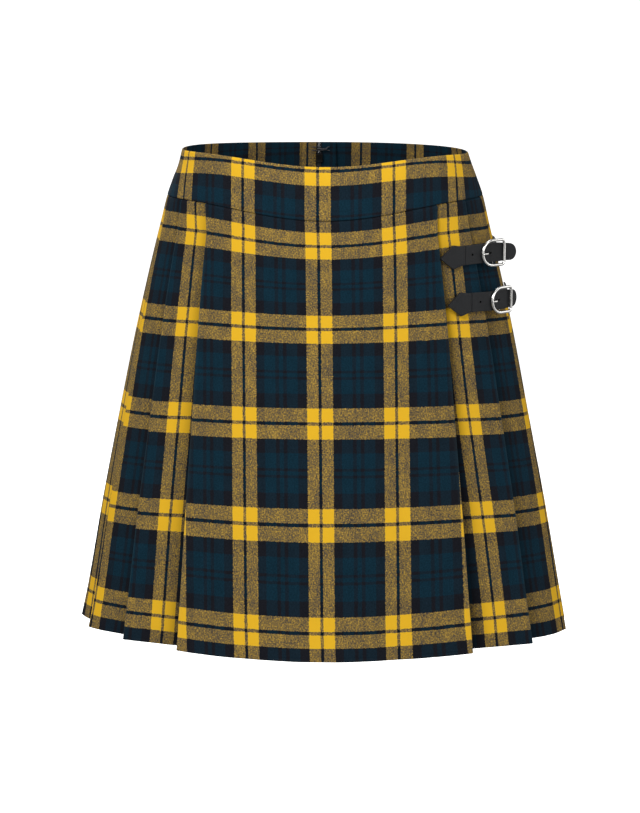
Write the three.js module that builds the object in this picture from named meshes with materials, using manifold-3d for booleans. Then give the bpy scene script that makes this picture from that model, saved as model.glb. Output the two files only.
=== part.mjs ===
// Pleated plaid skirt, filled out as it is worn. Millimetres, +Z up, the front faces -Y.
// The origin is the middle of the waist opening, where the wearer holds the skirt.
import * as THREE from "three";
import { mergeVertices } from "three/addons/utils/BufferGeometryUtils.js";
import Module from "manifold-3d";

const wasm = await Module();
wasm.setup();

// Driving dimensions
const WALL = 1.2; // thickness of the cloth
const SEAM = 0.3; // room between neighbouring pieces
const LAYER = 1.7; // from one layer of a pleat to the next
const OPEN_DEPTH = 17; // how far a pleat opens inwards at the hem
const ZIP_SLIT = 1.6; // the slit that the closed zip leaves at the centre back
const STRAP = { wide: 16.8, thick: 2.2, arrow: 12.4, corner: 20.6, tip: 1, tail: 8 };
const SLOT = { long: 5.2, wide: 2.4, at: -3.3 }; // the strap's slot for the pin, from the frame
const HOLE = { at: 35.1, radius: 1.1 }; // the strap's spare hole, from the arrow's tip
const FRAME = { wide: 26.5, high: 24.6, wire: 1.3, bar: 0.8, barAt: 3.5, bend: 0.6 };
const PRONG = 0.8; // radius of the buckle's pin
const ANCHOR = { thick: 1.2, high: 13 }; // the leather that holds a buckle to the cloth
const TAPE = { wide: 12, thick: 1 };
const SLIDER = { wide: 6, thick: 2.4, long: 8, neck: 1 };
const EYE = { out: 1.9, radius: 0.9, rim: 1.9, thick: 1 }; // the slider's eye for the pull
const PULL = { long: 20, wide: 5, neck: 4.2, thick: 1, pin: 0.55, arm: 1.1 };

// The outside of the garment, a row for each weft line of the plaid: the drop below the
// waist at the left side, right side, front and back, half the width, the depths, and how
// much higher than the blend of these the row runs halfway from the front to the sides.
const ROWS = [
  { left: 2, right: 2, front: 4, back: 3, half: 126.9, fore: 92, aft: 92, saddle: 3.6 },
  { left: 10, right: 10, front: 7, back: 9, half: 129.6, fore: 93.5, aft: 94, saddle: 5 },
  { left: 25, right: 25, front: 27, back: 26, half: 135.2, fore: 98.5, aft: 100, saddle: 4.8 },
  { left: 39.5, right: 39.5, front: 49, back: 44, half: 140.3, fore: 103, aft: 106, saddle: 4.6 },
  { left: 65, right: 66.5, front: 70.6, back: 68, half: 147.1, fore: 107, aft: 112, saddle: 3.9 },
  { left: 146.5, right: 147.5, front: 141.7, back: 146, half: 166.5, fore: 117, aft: 126, saddle: 2.2 },
  { left: 230, right: 233.5, front: 223.1, back: 230, half: 184, fore: 127, aft: 136, saddle: 0.8 },
  { left: 315, right: 318.7, front: 310.8, back: 316, half: 201, fore: 136, aft: 143, saddle: 1 },
  { left: 400.5, right: 404.5, front: 405.2, back: 404, half: 216.4, fore: 143, aft: 148, saddle: 1 },
  { left: 425, right: 432, front: 430.7, back: 430, half: 221.4, fore: 145, aft: 150, saddle: 0.8 },
];
const FRONT_DIP = 0.35; // how far the middle of the front hangs, as a share of the saddle
const SEAM_ROW = 3;
const HEM_ROW = ROWS.length - 1;

// Where each fold's edge stands round the skirt, in degrees from the centre front, at the
// seam under the waistband and at the hem. The first edge on each side is the apron's.
const FOLDS = {
  left: [
    { seam: 47.8, hem: 36 },
    { seam: 64, hem: 54 },
    { seam: 80.5, hem: 73 },
    { seam: 97, hem: 91 },
    { seam: 113.5, hem: 109 },
    { seam: 130, hem: 127 },
    { seam: 146.5, hem: 144.5 },
    { seam: 163, hem: 162 },
  ],
  right: [
    { seam: 43.7, hem: 35.7 },
    { seam: 60.5, hem: 56.2 },
    { seam: 77.5, hem: 80 },
    { seam: 94.5, hem: 97 },
    { seam: 111.6, hem: 113.5 },
    { seam: 128.7, hem: 130 },
    { seam: 145.8, hem: 146.5 },
    { seam: 162.9, hem: 163 },
  ],
};
const LAST_PLEAT = 8; // its edge is the centre back
const BACK_TURN = -2.3; // degrees from the middle of the back to the zip, towards the left
const SIDE_PLEAT = 2; // the side seam hides inside this fold
const TUCK = { seam: 13.5, hem: 7.2 }; // degrees of cloth tucked behind each fold's edge

const DEGREE = Math.PI / 180;
const CENTRE_BACK = Math.PI - BACK_TURN * DEGREE; // turning from the front past the right side
const lerp = (a, b, t) => a + (b - a) * t;

// Share of the way from the seam (0) to the hem (1) at a row, which may be a fraction.
function downSkirt(row) {
  return Math.max(0, (row - SEAM_ROW) / (HEM_ROW - SEAM_ROW));
}

function rowAt(row) {
  const low = Math.min(Math.floor(row), HEM_ROW - 1);
  const share = row - low;
  const mixed = {};
  for (const key of Object.keys(ROWS[0])) {
    mixed[key] = lerp(ROWS[low][key], ROWS[low + 1][key], share);
  }
  return mixed;
}

// A point on the outside at an angle from the front, moved along the outward normal.
function shellPoint(angle, row, out) {
  const size = rowAt(row);
  const sin = Math.sin(angle);
  const cos = Math.cos(angle);
  const depth = cos > 0 ? size.fore : size.aft;
  const normal = new THREE.Vector2(sin / size.half, -cos / depth).normalize();
  const middle = cos > 0 ? size.front : size.back;
  const side = sin > 0 ? size.right : size.left;
  const bend = cos > 0 ? size.saddle * (FRONT_DIP * cos ** 8 - Math.sin(2 * angle) ** 2) : 0;
  return new THREE.Vector3(
    size.half * sin + normal.x * out,
    -depth * cos + normal.y * out,
    -lerp(side, middle, cos * cos) - bend,
  );
}

function foldAngle(side, fold, row) {
  if (fold === LAST_PLEAT) {
    return Math.PI - (side === "left" ? -BACK_TURN : BACK_TURN) * DEGREE;
  }
  const edge = FOLDS[side][fold];
  const rest = 1 - downSkirt(row);
  return lerp(edge.hem, edge.seam, rest * rest) * DEGREE;
}

function tuckAngle(row) {
  return lerp(TUCK.seam, TUCK.hem, downSkirt(row)) * DEGREE;
}

// How far the start of a pleat's face lies behind the edge that covers it.
function pleatDepth(row) {
  return lerp(2 * LAYER, OPEN_DEPTH, downSkirt(row));
}

// The face of a pleat rises from under the last edge to its own. Sewn flat near the seam,
// it rises at once, and at the hem it rises evenly.
function faceSink(share, row) {
  const power = lerp(0.1, 1, Math.min(1, downSkirt(row) / 0.7));
  return -pleatDepth(row) * (1 - share ** power);
}

// The cloth's path is a list of stations, each of which gives an angle and a sink at a row.
const FACE_SHARES = [0.14, 0.42, 0.72, 1];
const CREASE = 0.35 * DEGREE;

function faceStations(side, pleat) {
  return FACE_SHARES.map((share) => (row) => {
    const from = foldAngle(side, pleat - 1, row);
    const to = foldAngle(side, pleat, row);
    return { angle: lerp(from, to, share), out: faceSink(share, row) };
  });
}

// How deep the face above lies at a point of the tuck behind a fold's edge. The apron is
// the face above the first tuck, and it does not sink.
function sinkAbove(side, fold, share, row) {
  if (fold === 0) {
    return 0;
  }
  const face = foldAngle(side, fold, row) - foldAngle(side, fold - 1, row);
  return faceSink(Math.max(0.02, 1 - (share * tuckAngle(row)) / face), row);
}

// Sink of the two tucked layers: layer 1 turns under the face and follows it, and layer 2
// comes back from the inner crease and goes on as the next pleat's face.
function tuckSink(side, fold, layer, share, row) {
  const above = sinkAbove(side, fold, share, row);
  if (layer === 1) {
    return above - LAYER;
  }
  const inner = sinkAbove(side, fold, 1, row) - 2 * LAYER;
  return Math.min(lerp(-pleatDepth(row), inner, share), above - 2 * LAYER);
}

function tuckStation(side, fold, layer, share) {
  return (row) => ({
    angle: foldAngle(side, fold, row) - share * tuckAngle(row),
    out: tuckSink(side, fold, layer, share, row),
  });
}

function edgeStation(side, fold) {
  return (row) => ({
    angle: foldAngle(side, fold, row) + CREASE,
    out: -LAYER / 2,
  });
}

function innerCrease(side, fold) {
  return (row) => ({
    angle: foldAngle(side, fold, row) - tuckAngle(row) - CREASE,
    out: sinkAbove(side, fold, 1, row) - 1.5 * LAYER,
  });
}

// The tuck's layers as stations from the edge to the inner crease, and back again.
const TUCK_SHARES = [0, 0.5, 0.98];

function underStations(side, fold) {
  const under = TUCK_SHARES.map((share) => tuckStation(side, fold, 1, share));
  return [edgeStation(side, fold), ...under];
}

function returnStations(side, fold) {
  return TUCK_SHARES.map((share) => tuckStation(side, fold, 2, share)).reverse();
}

function pleatRun(side, first, last) {
  const path = [];
  for (let pleat = first; pleat <= last; pleat += 1) {
    path.push(...faceStations(side, pleat));
    path.push(...underStations(side, pleat));
    if (pleat < last) {
      path.push(innerCrease(side, pleat), ...returnStations(side, pleat));
    }
  }
  return path;
}

// Turns the stations into points on one row. The left side's angles are mirrored.
function rowPath(stations, side, row) {
  const sign = side === "left" ? -1 : 1;
  return stations.map((station) => {
    const { angle, out } = station(row);
    return shellPoint(sign * angle, row, out - WALL / 2);
  });
}

const SHARPEST = 0.5; // the cosine past which a corner's mitre grows no more
const LONGEST_MITRE = 1.6;

// Offsets an open plan path by half the wall to one side, with mitred corners.
function offsetPath(points, distance) {
  return points.map((point, i) => {
    const before = points[Math.max(i - 1, 0)];
    const after = points[Math.min(i + 1, points.length - 1)];
    const into = new THREE.Vector2(point.x - before.x, point.y - before.y).normalize();
    const away = new THREE.Vector2(after.x - point.x, after.y - point.y).normalize();
    if (i === 0) into.copy(away);
    if (i === points.length - 1) away.copy(into);
    const along = into.clone().add(away).normalize();
    const stretch = Math.min(1 / Math.max(along.dot(into), SHARPEST), LONGEST_MITRE);
    return new THREE.Vector3(
      point.x + along.y * distance * stretch,
      point.y - along.x * distance * stretch,
      point.z,
    );
  });
}

// A closed solid from rings of points that run round the wall, one ring for each row.
function loftRings(rings) {
  const count = rings[0].length;
  const half = count / 2;
  const positions = rings.flat().flatMap((p) => [p.x, p.y, p.z]);
  const index = [];
  const quad = (a, b, c, d) => index.push(a, b, c, a, c, d);
  for (let r = 0; r + 1 < rings.length; r += 1) {
    for (let i = 0; i < count; i += 1) {
      const j = (i + 1) % count;
      quad(r * count + i, (r + 1) * count + i, (r + 1) * count + j, r * count + j);
    }
  }
  const last = (rings.length - 1) * count;
  for (let i = 0; i + 1 < half; i += 1) {
    const across = count - 1 - i;
    quad(i, i + 1, across - 1, across);
    quad(last + across, last + across - 1, last + i + 1, last + i);
  }
  const geometry = new THREE.BufferGeometry();
  geometry.setAttribute("position", new THREE.Float32BufferAttribute(positions, 3));
  geometry.setIndex(index);
  return facingOut(geometry);
}

function signedVolume(geometry) {
  const at = geometry.getAttribute("position");
  const index = geometry.getIndex();
  const corner = [new THREE.Vector3(), new THREE.Vector3(), new THREE.Vector3()];
  let volume = 0;
  for (let i = 0; i < index.count; i += 3) {
    corner.forEach((c, k) => c.fromBufferAttribute(at, index.getX(i + k)));
    volume += corner[0].dot(corner[1].clone().cross(corner[2])) / 6;
  }
  return volume;
}

function facingOut(geometry) {
  if (signedVolume(geometry) < 0) {
    const order = Array.from(geometry.getIndex().array);
    for (let i = 0; i < order.length; i += 3) {
      [order[i + 1], order[i + 2]] = [order[i + 2], order[i + 1]];
    }
    geometry.setIndex(order);
  }
  return geometry;
}

// A wall of cloth: paths, one for each row, thickened by the wall.
function clothWall(paths) {
  const rings = paths.map((points) => {
    const outside = offsetPath(points, WALL / 2);
    const inside = offsetPath(points, -WALL / 2).reverse();
    return [...outside, ...inside];
  });
  return loftRings(rings);
}

const MERGE_WITHIN = 1e-4;

function toManifold(geometry) {
  const bare = geometry.clone();
  bare.deleteAttribute("normal");
  bare.deleteAttribute("uv");
  const merged = mergeVertices(bare, MERGE_WITHIN);
  return new wasm.Manifold(
    new wasm.Mesh({
      numProp: 3,
      vertProperties: new Float32Array(merged.getAttribute("position").array),
      triVerts: new Uint32Array(merged.getIndex().array),
    }),
  );
}

function fromManifold(solid) {
  const mesh = solid.getMesh();
  const geometry = new THREE.BufferGeometry();
  geometry.setAttribute("position", new THREE.Float32BufferAttribute(mesh.vertProperties, 3));
  geometry.setIndex(Array.from(mesh.triVerts));
  return geometry;
}

// Cloth pieces

const SKIRT_ROWS = [];
for (let row = SEAM_ROW; row <= HEM_ROW; row += 1) {
  SKIRT_ROWS.push(row);
}

// The seam leaves its room below the waistband, as a share of the first row's height.
const SEAM_SHARE = SEAM / (ROWS[SEAM_ROW + 1].left - ROWS[SEAM_ROW].left);
const skirtRow = (row) => (row === SEAM_ROW ? row + SEAM_SHARE : row);

const APRON_STEPS = 12;

function skirtFront() {
  const paths = SKIRT_ROWS.map(skirtRow).map((row) => {
    const left = underStations("left", 0);
    left.push(innerCrease("left", 0), ...returnStations("left", 0));
    left.push(...pleatRun("left", 1, SIDE_PLEAT));
    const right = underStations("right", 0);
    right.push(innerCrease("right", 0), ...returnStations("right", 0));
    right.push(...pleatRun("right", 1, SIDE_PLEAT));
    const from = -foldAngle("left", 0, row);
    const to = foldAngle("right", 0, row);
    const apron = [];
    for (let i = 0; i <= APRON_STEPS; i += 1) {
      apron.push(shellPoint(lerp(from, to, i / APRON_STEPS), row, -WALL / 2));
    }
    return [...rowPath(left, "left", row).reverse(), ...apron, ...rowPath(right, "right", row)];
  });
  return clothWall(paths);
}

// The back panels start behind the side fold and end at the centre back.
function skirtBack(side) {
  const stations = returnStations(side, SIDE_PLEAT);
  stations.push(...pleatRun(side, SIDE_PLEAT + 1, LAST_PLEAT));
  stations.push(innerCrease(side, LAST_PLEAT), ...returnStations(side, LAST_PLEAT));
  const sign = side === "left" ? -1 : 1;
  const paths = SKIRT_ROWS.map(skirtRow).map((row) => {
    const points = rowPath(stations, side, row);
    const middle = shellPoint(CENTRE_BACK, row, 0).x;
    return points.map((p) => centreBackRoom(p, middle, sign, SEAM + WALL / 4));
  });
  return clothWall(paths);
}

// Keeps a point on its own side of the centre back, with room for the meeting edges.
function centreBackRoom(point, middle, sign, room) {
  if (point.y > 0 && sign * (point.x - middle) < room) {
    point.x = middle + sign * room;
  }
  return point;
}

const YOKE_ROWS = [0, 1, 2, SEAM_ROW];
const SIDE_SEAM = 90 * DEGREE;

function yokePiece(from, to, steps) {
  const paths = YOKE_ROWS.map((row) => {
    const points = [];
    for (let i = 0; i <= steps; i += 1) {
      points.push(shellPoint(lerp(from, to, i / steps), row, -WALL / 2));
    }
    return points;
  });
  return clothWall(paths);
}

const YOKE_ROOM = SEAM / 2 / ROWS[1].fore; // half a seam's room as an angle at the side
const SLIT_ROOM = ZIP_SLIT / 2 / ROWS[0].half; // half the slit as an angle at the back

// Straps and buckles, on the right hip. Angles are on the outside, from the front. The
// frame's place is where the strap's middle passes through it, and turn is its heading.
const STRAPS = [
  {
    name: "upper",
    tip: { angle: 40.8, z: -86 },
    line: { angle: 52.3, z: -85.2 },
    frame: { x: 146.2, y: -48.8, z: -85.3, turn: 36 },
    end: { x: 168, y: -34.5, z: -86.2 },
    seat: 84,
  },
  {
    name: "lower",
    tip: { angle: 40.8, z: -126.5 },
    line: { angle: 51.2, z: -126 },
    frame: { x: 153.3, y: -52.3, z: -126.6, turn: 44 },
    end: { x: 168.5, y: -33, z: -127.2 },
    seat: 80,
  },
];

// The outside at an angle and a height, found by halving.
function shellAt(degrees, z, out) {
  let low = 0;
  let high = HEM_ROW;
  for (let i = 0; i < 30; i += 1) {
    const middle = (low + high) / 2;
    if (shellPoint(degrees * DEGREE, middle, 0).z > z) {
      low = middle;
    } else {
      high = middle;
    }
  }
  return shellPoint(degrees * DEGREE, low, out);
}

const STRAP_REST = SEAM + STRAP.thick / 2 + 0.2; // from the cloth to the strap's middle
const STRAIGHT = { before: 0.8, after: 0.7 }; // shares of the frame's half that stay straight

// The strap's middle line: on the apron from its tip to the sewn line, then free.
function strapLine(strap) {
  const { tip, line, frame, end } = strap;
  const middle = { angle: lerp(tip.angle, line.angle, 0.5), z: lerp(tip.z, line.z, 0.5) };
  const heading = new THREE.Vector3(Math.cos(frame.turn * DEGREE), Math.sin(frame.turn * DEGREE), 0);
  const centre = new THREE.Vector3(frame.x, frame.y, frame.z);
  const reach = FRAME.wide / 2;
  return new THREE.CatmullRomCurve3([
    ...[tip, middle, line].map((at) => shellAt(at.angle, at.z, STRAP_REST)),
    centre.clone().addScaledVector(heading, -reach * STRAIGHT.before),
    centre,
    centre.clone().addScaledVector(heading, reach * STRAIGHT.after),
    new THREE.Vector3(end.x, end.y, end.z),
  ]);
}

// Local axes of a frame: along the strap, out from the hip, and up.
function frameAxes(strap) {
  const turn = strap.frame.turn * DEGREE;
  return {
    at: new THREE.Vector3(strap.frame.x, strap.frame.y, strap.frame.z),
    along: new THREE.Vector3(Math.cos(turn), Math.sin(turn), 0),
    out: new THREE.Vector3(Math.sin(turn), -Math.cos(turn), 0),
    up: new THREE.Vector3(0, 0, 1),
  };
}

function inFrame(axes, along, out, up) {
  return axes.at
    .clone()
    .addScaledVector(axes.along, along)
    .addScaledVector(axes.out, out)
    .addScaledVector(axes.up, up);
}

function placed(geometry, axes) {
  const basis = new THREE.Matrix4().makeBasis(axes.along, axes.out, axes.up);
  basis.setPosition(axes.at);
  return facingOut(geometry.clone().applyMatrix4(basis));
}

const TAIL_POWER = 2.4; // a free end a little squarer than round
const TAIL_LEAST = 0.2; // share of the width that the free end keeps

// Half the strap's width at a distance from its arrow tip.
function strapHalf(distance, length) {
  const half = STRAP.wide / 2;
  const corner = STRAP.corner / 2;
  if (distance < STRAP.arrow) {
    return lerp(STRAP.tip / 2, corner, distance / STRAP.arrow);
  }
  if (distance > length - STRAP.tail) {
    const share = (distance - length + STRAP.tail) / STRAP.tail;
    return half * Math.sqrt(Math.max(1 - share ** TAIL_POWER, TAIL_LEAST ** 2));
  }
  return lerp(corner, half, Math.min((distance - STRAP.arrow) / STRAP.arrow, 1));
}

const STRAP_STEPS = 22;
const SHIFT = FRAME.wire + SEAM + STRAP.thick / 2; // from the strap's middle to the frame's
const BAR_DROP = STRAP.thick / 2 + 2 * SEAM + ANCHOR.thick + FRAME.bar;

function strapSolid(strap) {
  const curve = strapLine(strap);
  const length = curve.getLength();
  const rings = [];
  for (let i = 0; i <= STRAP_STEPS; i += 1) {
    const at = curve.getPointAt(i / STRAP_STEPS);
    const along = curve.getTangentAt(i / STRAP_STEPS);
    const out = new THREE.Vector3(along.y, -along.x, 0).normalize().multiplyScalar(STRAP.thick / 2);
    const half = strapHalf((i / STRAP_STEPS) * length, length);
    const corner = (side, high) =>
      at.clone().addScaledVector(out, side).add(new THREE.Vector3(0, 0, high * half));
    rings.push([corner(1, 1), corner(1, -1), corner(-1, -1), corner(-1, 1)]);
  }
  const axes = frameAxes(strap);
  const through = 3 * STRAP.thick;
  const slot = new THREE.BoxGeometry(SLOT.long, through, SLOT.wide).translate(SLOT.at, 0, 0);
  const hole = new THREE.CylinderGeometry(HOLE.radius, HOLE.radius, through, 8);
  const eyelet = { ...axes, at: curve.getPointAt(HOLE.at / length) };
  const solid = toManifold(loftRings(rings)).subtract(toManifold(placed(slot, axes)));
  return fromManifold(solid.subtract(toManifold(placed(hole, eyelet))));
}

// A round wire through points, closed on itself or with flat ends.
function wire(points, radius, closed, sides = 8) {
  const count = points.length;
  const rings = points.map((point, i) => {
    const before = closed ? points[(i + count - 1) % count] : points[Math.max(i - 1, 0)];
    const after = closed ? points[(i + 1) % count] : points[Math.min(i + 1, count - 1)];
    const along = after.clone().sub(before).normalize();
    const lift = Math.abs(along.y) > 0.9 ? new THREE.Vector3(0, 0, 1) : new THREE.Vector3(0, 1, 0);
    const across = lift.clone().cross(along).normalize();
    const over = along.clone().cross(across).normalize();
    const ring = [];
    for (let k = 0; k < sides; k += 1) {
      const turn = (k / sides) * 2 * Math.PI;
      ring.push(
        point
          .clone()
          .addScaledVector(across, Math.cos(turn) * radius)
          .addScaledVector(over, Math.sin(turn) * radius),
      );
    }
    return ring;
  });
  return closed ? loopRings(rings) : loftRings(rings);
}

function loopRings(rings) {
  const count = rings[0].length;
  const positions = rings.flat().flatMap((p) => [p.x, p.y, p.z]);
  const index = [];
  for (let r = 0; r < rings.length; r += 1) {
    const next = (r + 1) % rings.length;
    for (let i = 0; i < count; i += 1) {
      const j = (i + 1) % count;
      const corners = [r * count + i, next * count + i, next * count + j, r * count + j];
      index.push(corners[0], corners[1], corners[2], corners[0], corners[2], corners[3]);
    }
  }
  const geometry = new THREE.BufferGeometry();
  geometry.setAttribute("position", new THREE.Float32BufferAttribute(positions, 3));
  geometry.setIndex(index);
  return facingOut(geometry);
}

const ROUND_STEP = 18; // degrees from point to point of the frame's round side
const CORNER = { from: 0.6, dip: 0.96, turn: 0.8 }; // shares where its soft corners turn

// The buckle's frame in its own axes: round on the left, with a straight side on the
// right, and a bar on two short posts below the strap.
function buckleOutline() {
  const high = FRAME.high / 2 - FRAME.wire;
  const left = -FRAME.wide / 2 + FRAME.wire;
  const right = FRAME.wide / 2 - FRAME.wire;
  const centre = left + high;
  const points = [];
  for (let degrees = 90; degrees <= 270; degrees += ROUND_STEP) {
    const turn = degrees * DEGREE;
    points.push(new THREE.Vector3(centre + high * Math.cos(turn), SHIFT, high * Math.sin(turn)));
  }
  const from = lerp(centre, right, CORNER.from);
  points.push(new THREE.Vector3(from, SHIFT, -high * CORNER.dip));
  points.push(new THREE.Vector3(right, SHIFT, -high * CORNER.turn));
  points.push(new THREE.Vector3(right, SHIFT, high * CORNER.turn));
  points.push(new THREE.Vector3(from, SHIFT, high * CORNER.dip));
  return points;
}

function buckleFrame(strap) {
  const side = FRAME.high / 2 - FRAME.wire;
  const spots = [
    [SHIFT, side],
    [FRAME.bend - BAR_DROP, side],
    [-BAR_DROP, side - FRAME.bend],
    [-BAR_DROP, FRAME.bend - side],
    [FRAME.bend - BAR_DROP, -side],
    [SHIFT, -side],
  ];
  const bent = spots.map(([out, up]) => new THREE.Vector3(FRAME.barAt, out, up));
  const bar = wire(bent, FRAME.bar, false);
  const outline = wire(buckleOutline(), FRAME.wire, true);
  return placed(fromManifold(toManifold(outline).add(toManifold(bar))), frameAxes(strap));
}

const PIN_TURNS = [200, 250, 300, 350, 40, 80]; // degrees, round the bar
const PIN_RISE = [[1.2, -2.35], [-0.9, -2.2], [-5.4, 2.6]]; // from the bar up through the slot
const PIN_END = { past: 1.6, droop: 0.5, flat: 3.35 }; // over the frame's round side

// The pin: wound round the bar, up through the strap's slot and out over the frame.
function bucklePin(strap) {
  const hold = FRAME.bar + SEAM + PRONG;
  const over = SHIFT + FRAME.wire + SEAM + PRONG;
  const edge = -FRAME.wide / 2 + FRAME.wire;
  const turned = PIN_TURNS.map((degrees) => {
    const turn = degrees * DEGREE;
    return [FRAME.barAt + hold * Math.cos(turn), -BAR_DROP + hold * Math.sin(turn)];
  });
  const laid = [[edge + PIN_END.flat, over - 0.2], [edge, over]];
  const run = [...turned, ...PIN_RISE, ...laid, [edge - PIN_END.past, over - PIN_END.droop]];
  const points = run.map(([x, y]) => new THREE.Vector3(x, y, 0));
  return placed(wire(points, PRONG, false, 6), frameAxes(strap));
}

const LOOP_TURNS = [30, 75, 120, 165, 210]; // degrees, round the bar
const SEWN = { steps: 3, degrees: 5 }; // where the leather lies on the cloth, from its seat
const NOTCH = { room: 4, across: -0.6, out: 0.4 }; // clears the pin's winding in the middle

// The leather that goes round the bar and back to the cloth, where it is sewn down.
function anchorSolid(strap) {
  const axes = frameAxes(strap);
  const hold = FRAME.bar + SEAM + ANCHOR.thick / 2;
  const out = 2 * SEAM + ANCHOR.thick / 2;
  const path = (up) => {
    const points = LOOP_TURNS.map((degrees) => {
      const turn = degrees * DEGREE;
      const across = FRAME.barAt + hold * Math.cos(turn);
      return inFrame(axes, across, -BAR_DROP + hold * Math.sin(turn), up);
    });
    for (let i = 0; i <= SEWN.steps; i += 1) {
      points.push(shellAt(strap.seat + i * SEWN.degrees, strap.frame.z + up, out));
    }
    return points;
  };
  const rings = [ANCHOR.high / 2, -ANCHOR.high / 2].map((up) => {
    const points = path(up);
    const outer = offsetPath(points, ANCHOR.thick / 2);
    return [...outer, ...offsetPath(points, -ANCHOR.thick / 2).reverse()];
  });
  const wide = 2 * hold + NOTCH.room;
  const notch = new THREE.BoxGeometry(wide, wide, 2 * PRONG + 3 * SEAM);
  notch.translate(FRAME.barAt + NOTCH.across, -BAR_DROP + NOTCH.out, 0);
  return fromManifold(toManifold(loftRings(rings)).subtract(toManifold(placed(notch, axes))));
}

// The zip, at the centre back

const TAPE_ROWS = [0.2, 1, 2.3, 2.85, 3.4, 4, 5, 5.5];
const TAPE_STEP = 2.5; // the row where the tape passes from the waistband to the pleats

function tapeSink(row) {
  const behindYoke = WALL + SEAM + TAPE.thick / 2;
  const behindTuck = pleatDepth(row) + WALL + 1.5 * SEAM + TAPE.thick / 2;
  return row < TAPE_STEP ? -behindYoke : -behindTuck;
}

function zipTape(sign) {
  const rings = TAPE_ROWS.map((row) => {
    const half = rowAt(row).half;
    const near = ZIP_SLIT / 2 / half;
    const far = (ZIP_SLIT / 2 + TAPE.wide) / half;
    const points = [near, far].map((turn) =>
      shellPoint(CENTRE_BACK - sign * turn, row, tapeSink(row)),
    );
    const outer = points.map((p) => p.clone().setY(p.y + TAPE.thick / 2));
    const inner = points.map((p) => p.clone().setY(p.y - TAPE.thick / 2));
    return [...outer, ...inner.reverse()];
  });
  return loftRings(rings);
}

// The slider stands in the slit: its body inside, and an eye outside for the pull's pin.
const SLIDER_DROP = 16;

function zipAxes() {
  const high = shellPoint(CENTRE_BACK, 1, 0);
  const low = shellPoint(CENTRE_BACK, 2, 0);
  const down = low.clone().sub(high).setX(0).normalize();
  const at = high.clone().addScaledVector(down, (SLIDER_DROP + high.z) / -down.z);
  const along = new THREE.Vector3(1, 0, 0);
  const out = new THREE.Vector3(0, -down.z, down.y).normalize();
  return { at, along, out, up: down.clone().negate() };
}

function sliderSolid() {
  const inside = WALL + 2 * SEAM + TAPE.thick + 0.2;
  const body = new THREE.BoxGeometry(SLIDER.wide, SLIDER.thick, SLIDER.long);
  body.translate(0, -inside - SLIDER.thick / 2, 0);
  const neck = new THREE.BoxGeometry(SLIDER.neck, inside + 2 * SLIDER.neck, 2 * EYE.rim);
  neck.translate(0, -inside / 2, 0);
  const eye = new THREE.CylinderGeometry(EYE.rim, EYE.rim, EYE.thick, 16);
  eye.rotateZ(Math.PI / 2).translate(0, EYE.out, 0);
  const hole = new THREE.CylinderGeometry(EYE.radius, EYE.radius, 3 * EYE.thick, 12);
  hole.rotateZ(Math.PI / 2).translate(0, EYE.out, 0);
  const solid = toManifold(body).add(toManifold(neck)).add(toManifold(eye));
  return placed(fromManifold(solid.subtract(toManifold(hole))), zipAxes());
}

const PULL_TOP = EYE.rim + 2 * SEAM; // from the pin down to the pull's plate
const ARM = { longer: 1, lower: 0.2 }; // the arms reach into the plate and round the pin

// The pull: a plate with two arms and a pin that turns in the slider's eye.
function pullSolid() {
  const pin = new THREE.CylinderGeometry(PULL.pin, PULL.pin, PULL.neck, 10);
  let solid = toManifold(pin.rotateZ(Math.PI / 2));
  for (const side of [-1, 1]) {
    const arm = new THREE.BoxGeometry(PULL.arm, PULL.thick, PULL_TOP + ARM.longer);
    arm.translate((side * (PULL.neck - PULL.arm)) / 2, 0, -PULL_TOP / 2 - ARM.lower);
    solid = solid.add(toManifold(arm));
  }
  const outline = new THREE.Shape();
  const half = PULL.wide / 2;
  outline.moveTo(-PULL.neck / 2, ARM.lower - PULL_TOP);
  outline.lineTo(-half, -PULL.long + half);
  outline.absarc(0, -PULL.long + half, half, Math.PI, 2 * Math.PI, false);
  outline.lineTo(PULL.neck / 2, ARM.lower - PULL_TOP);
  outline.closePath();
  const flat = { depth: PULL.thick, bevelEnabled: false, curveSegments: 8 };
  const plate = new THREE.ExtrudeGeometry(outline, flat);
  plate.rotateX(Math.PI / 2).translate(0, PULL.thick / 2, 0);
  solid = solid.add(toManifold(plate));
  return placed(fromManifold(solid).translate(0, EYE.out, 0), zipAxes());
}

// The hook and its eye, of bent wire, sewn inside above the zip
const HOOK = { drop: 7.4, wire: 0.45, in: WALL + TAPE.thick + 3 * SEAM + 0.6 };

// Bent wire through spots that give across, up and how far in front of the tape.
function fastenerSolid(spots) {
  const axes = zipAxes();
  const lift = SLIDER_DROP - HOOK.drop;
  const points = spots.map(([x, up, ahead]) => inFrame(axes, x, -HOOK.in - ahead, lift + up));
  return wire(points, HOOK.wire, false, 6);
}

const HOOK_SPOTS = [
  [9.4, 1.6, 0],
  [7.8, 1.6, 0],
  [6.2, 0.6, 1.3],
  [-1.6, 0.6, 1.3],
  [-1.6, -0.6, 1.3],
  [6.2, -0.6, 1.3],
  [7.8, -1.6, 0],
  [9.4, -1.6, 0],
];
const EYE_SPOTS = [
  [-6.4, 1.7, 0],
  [-4.6, 1.7, 0],
  [-0.4, 1.2, 0],
  [-0.4, -1.2, 0],
  [-4.6, -1.7, 0],
  [-6.4, -1.7, 0],
];

// Colour, roughness and metalness of each finish
const FINISHES = {
  cloth: [0x142b38, 0.9, 0],
  yoke: [0x7a6334, 0.9, 0],
  leather: [0x2d2d2d, 0.55, 0],
  steel: [0xc9c9c9, 0.2, 1],
  zipMetal: [0xc9c9c9, 0.3, 1],
  tape: [0x23262b, 0.8, 0],
};

const root = new THREE.Group();

function addMesh(name, geometry, finish) {
  geometry.computeVertexNormals();
  const [color, roughness, metalness] = finish;
  const material = new THREE.MeshStandardMaterial({ color, roughness, metalness });
  const mesh = new THREE.Mesh(geometry, material);
  mesh.name = name;
  root.add(mesh);
}

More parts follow.
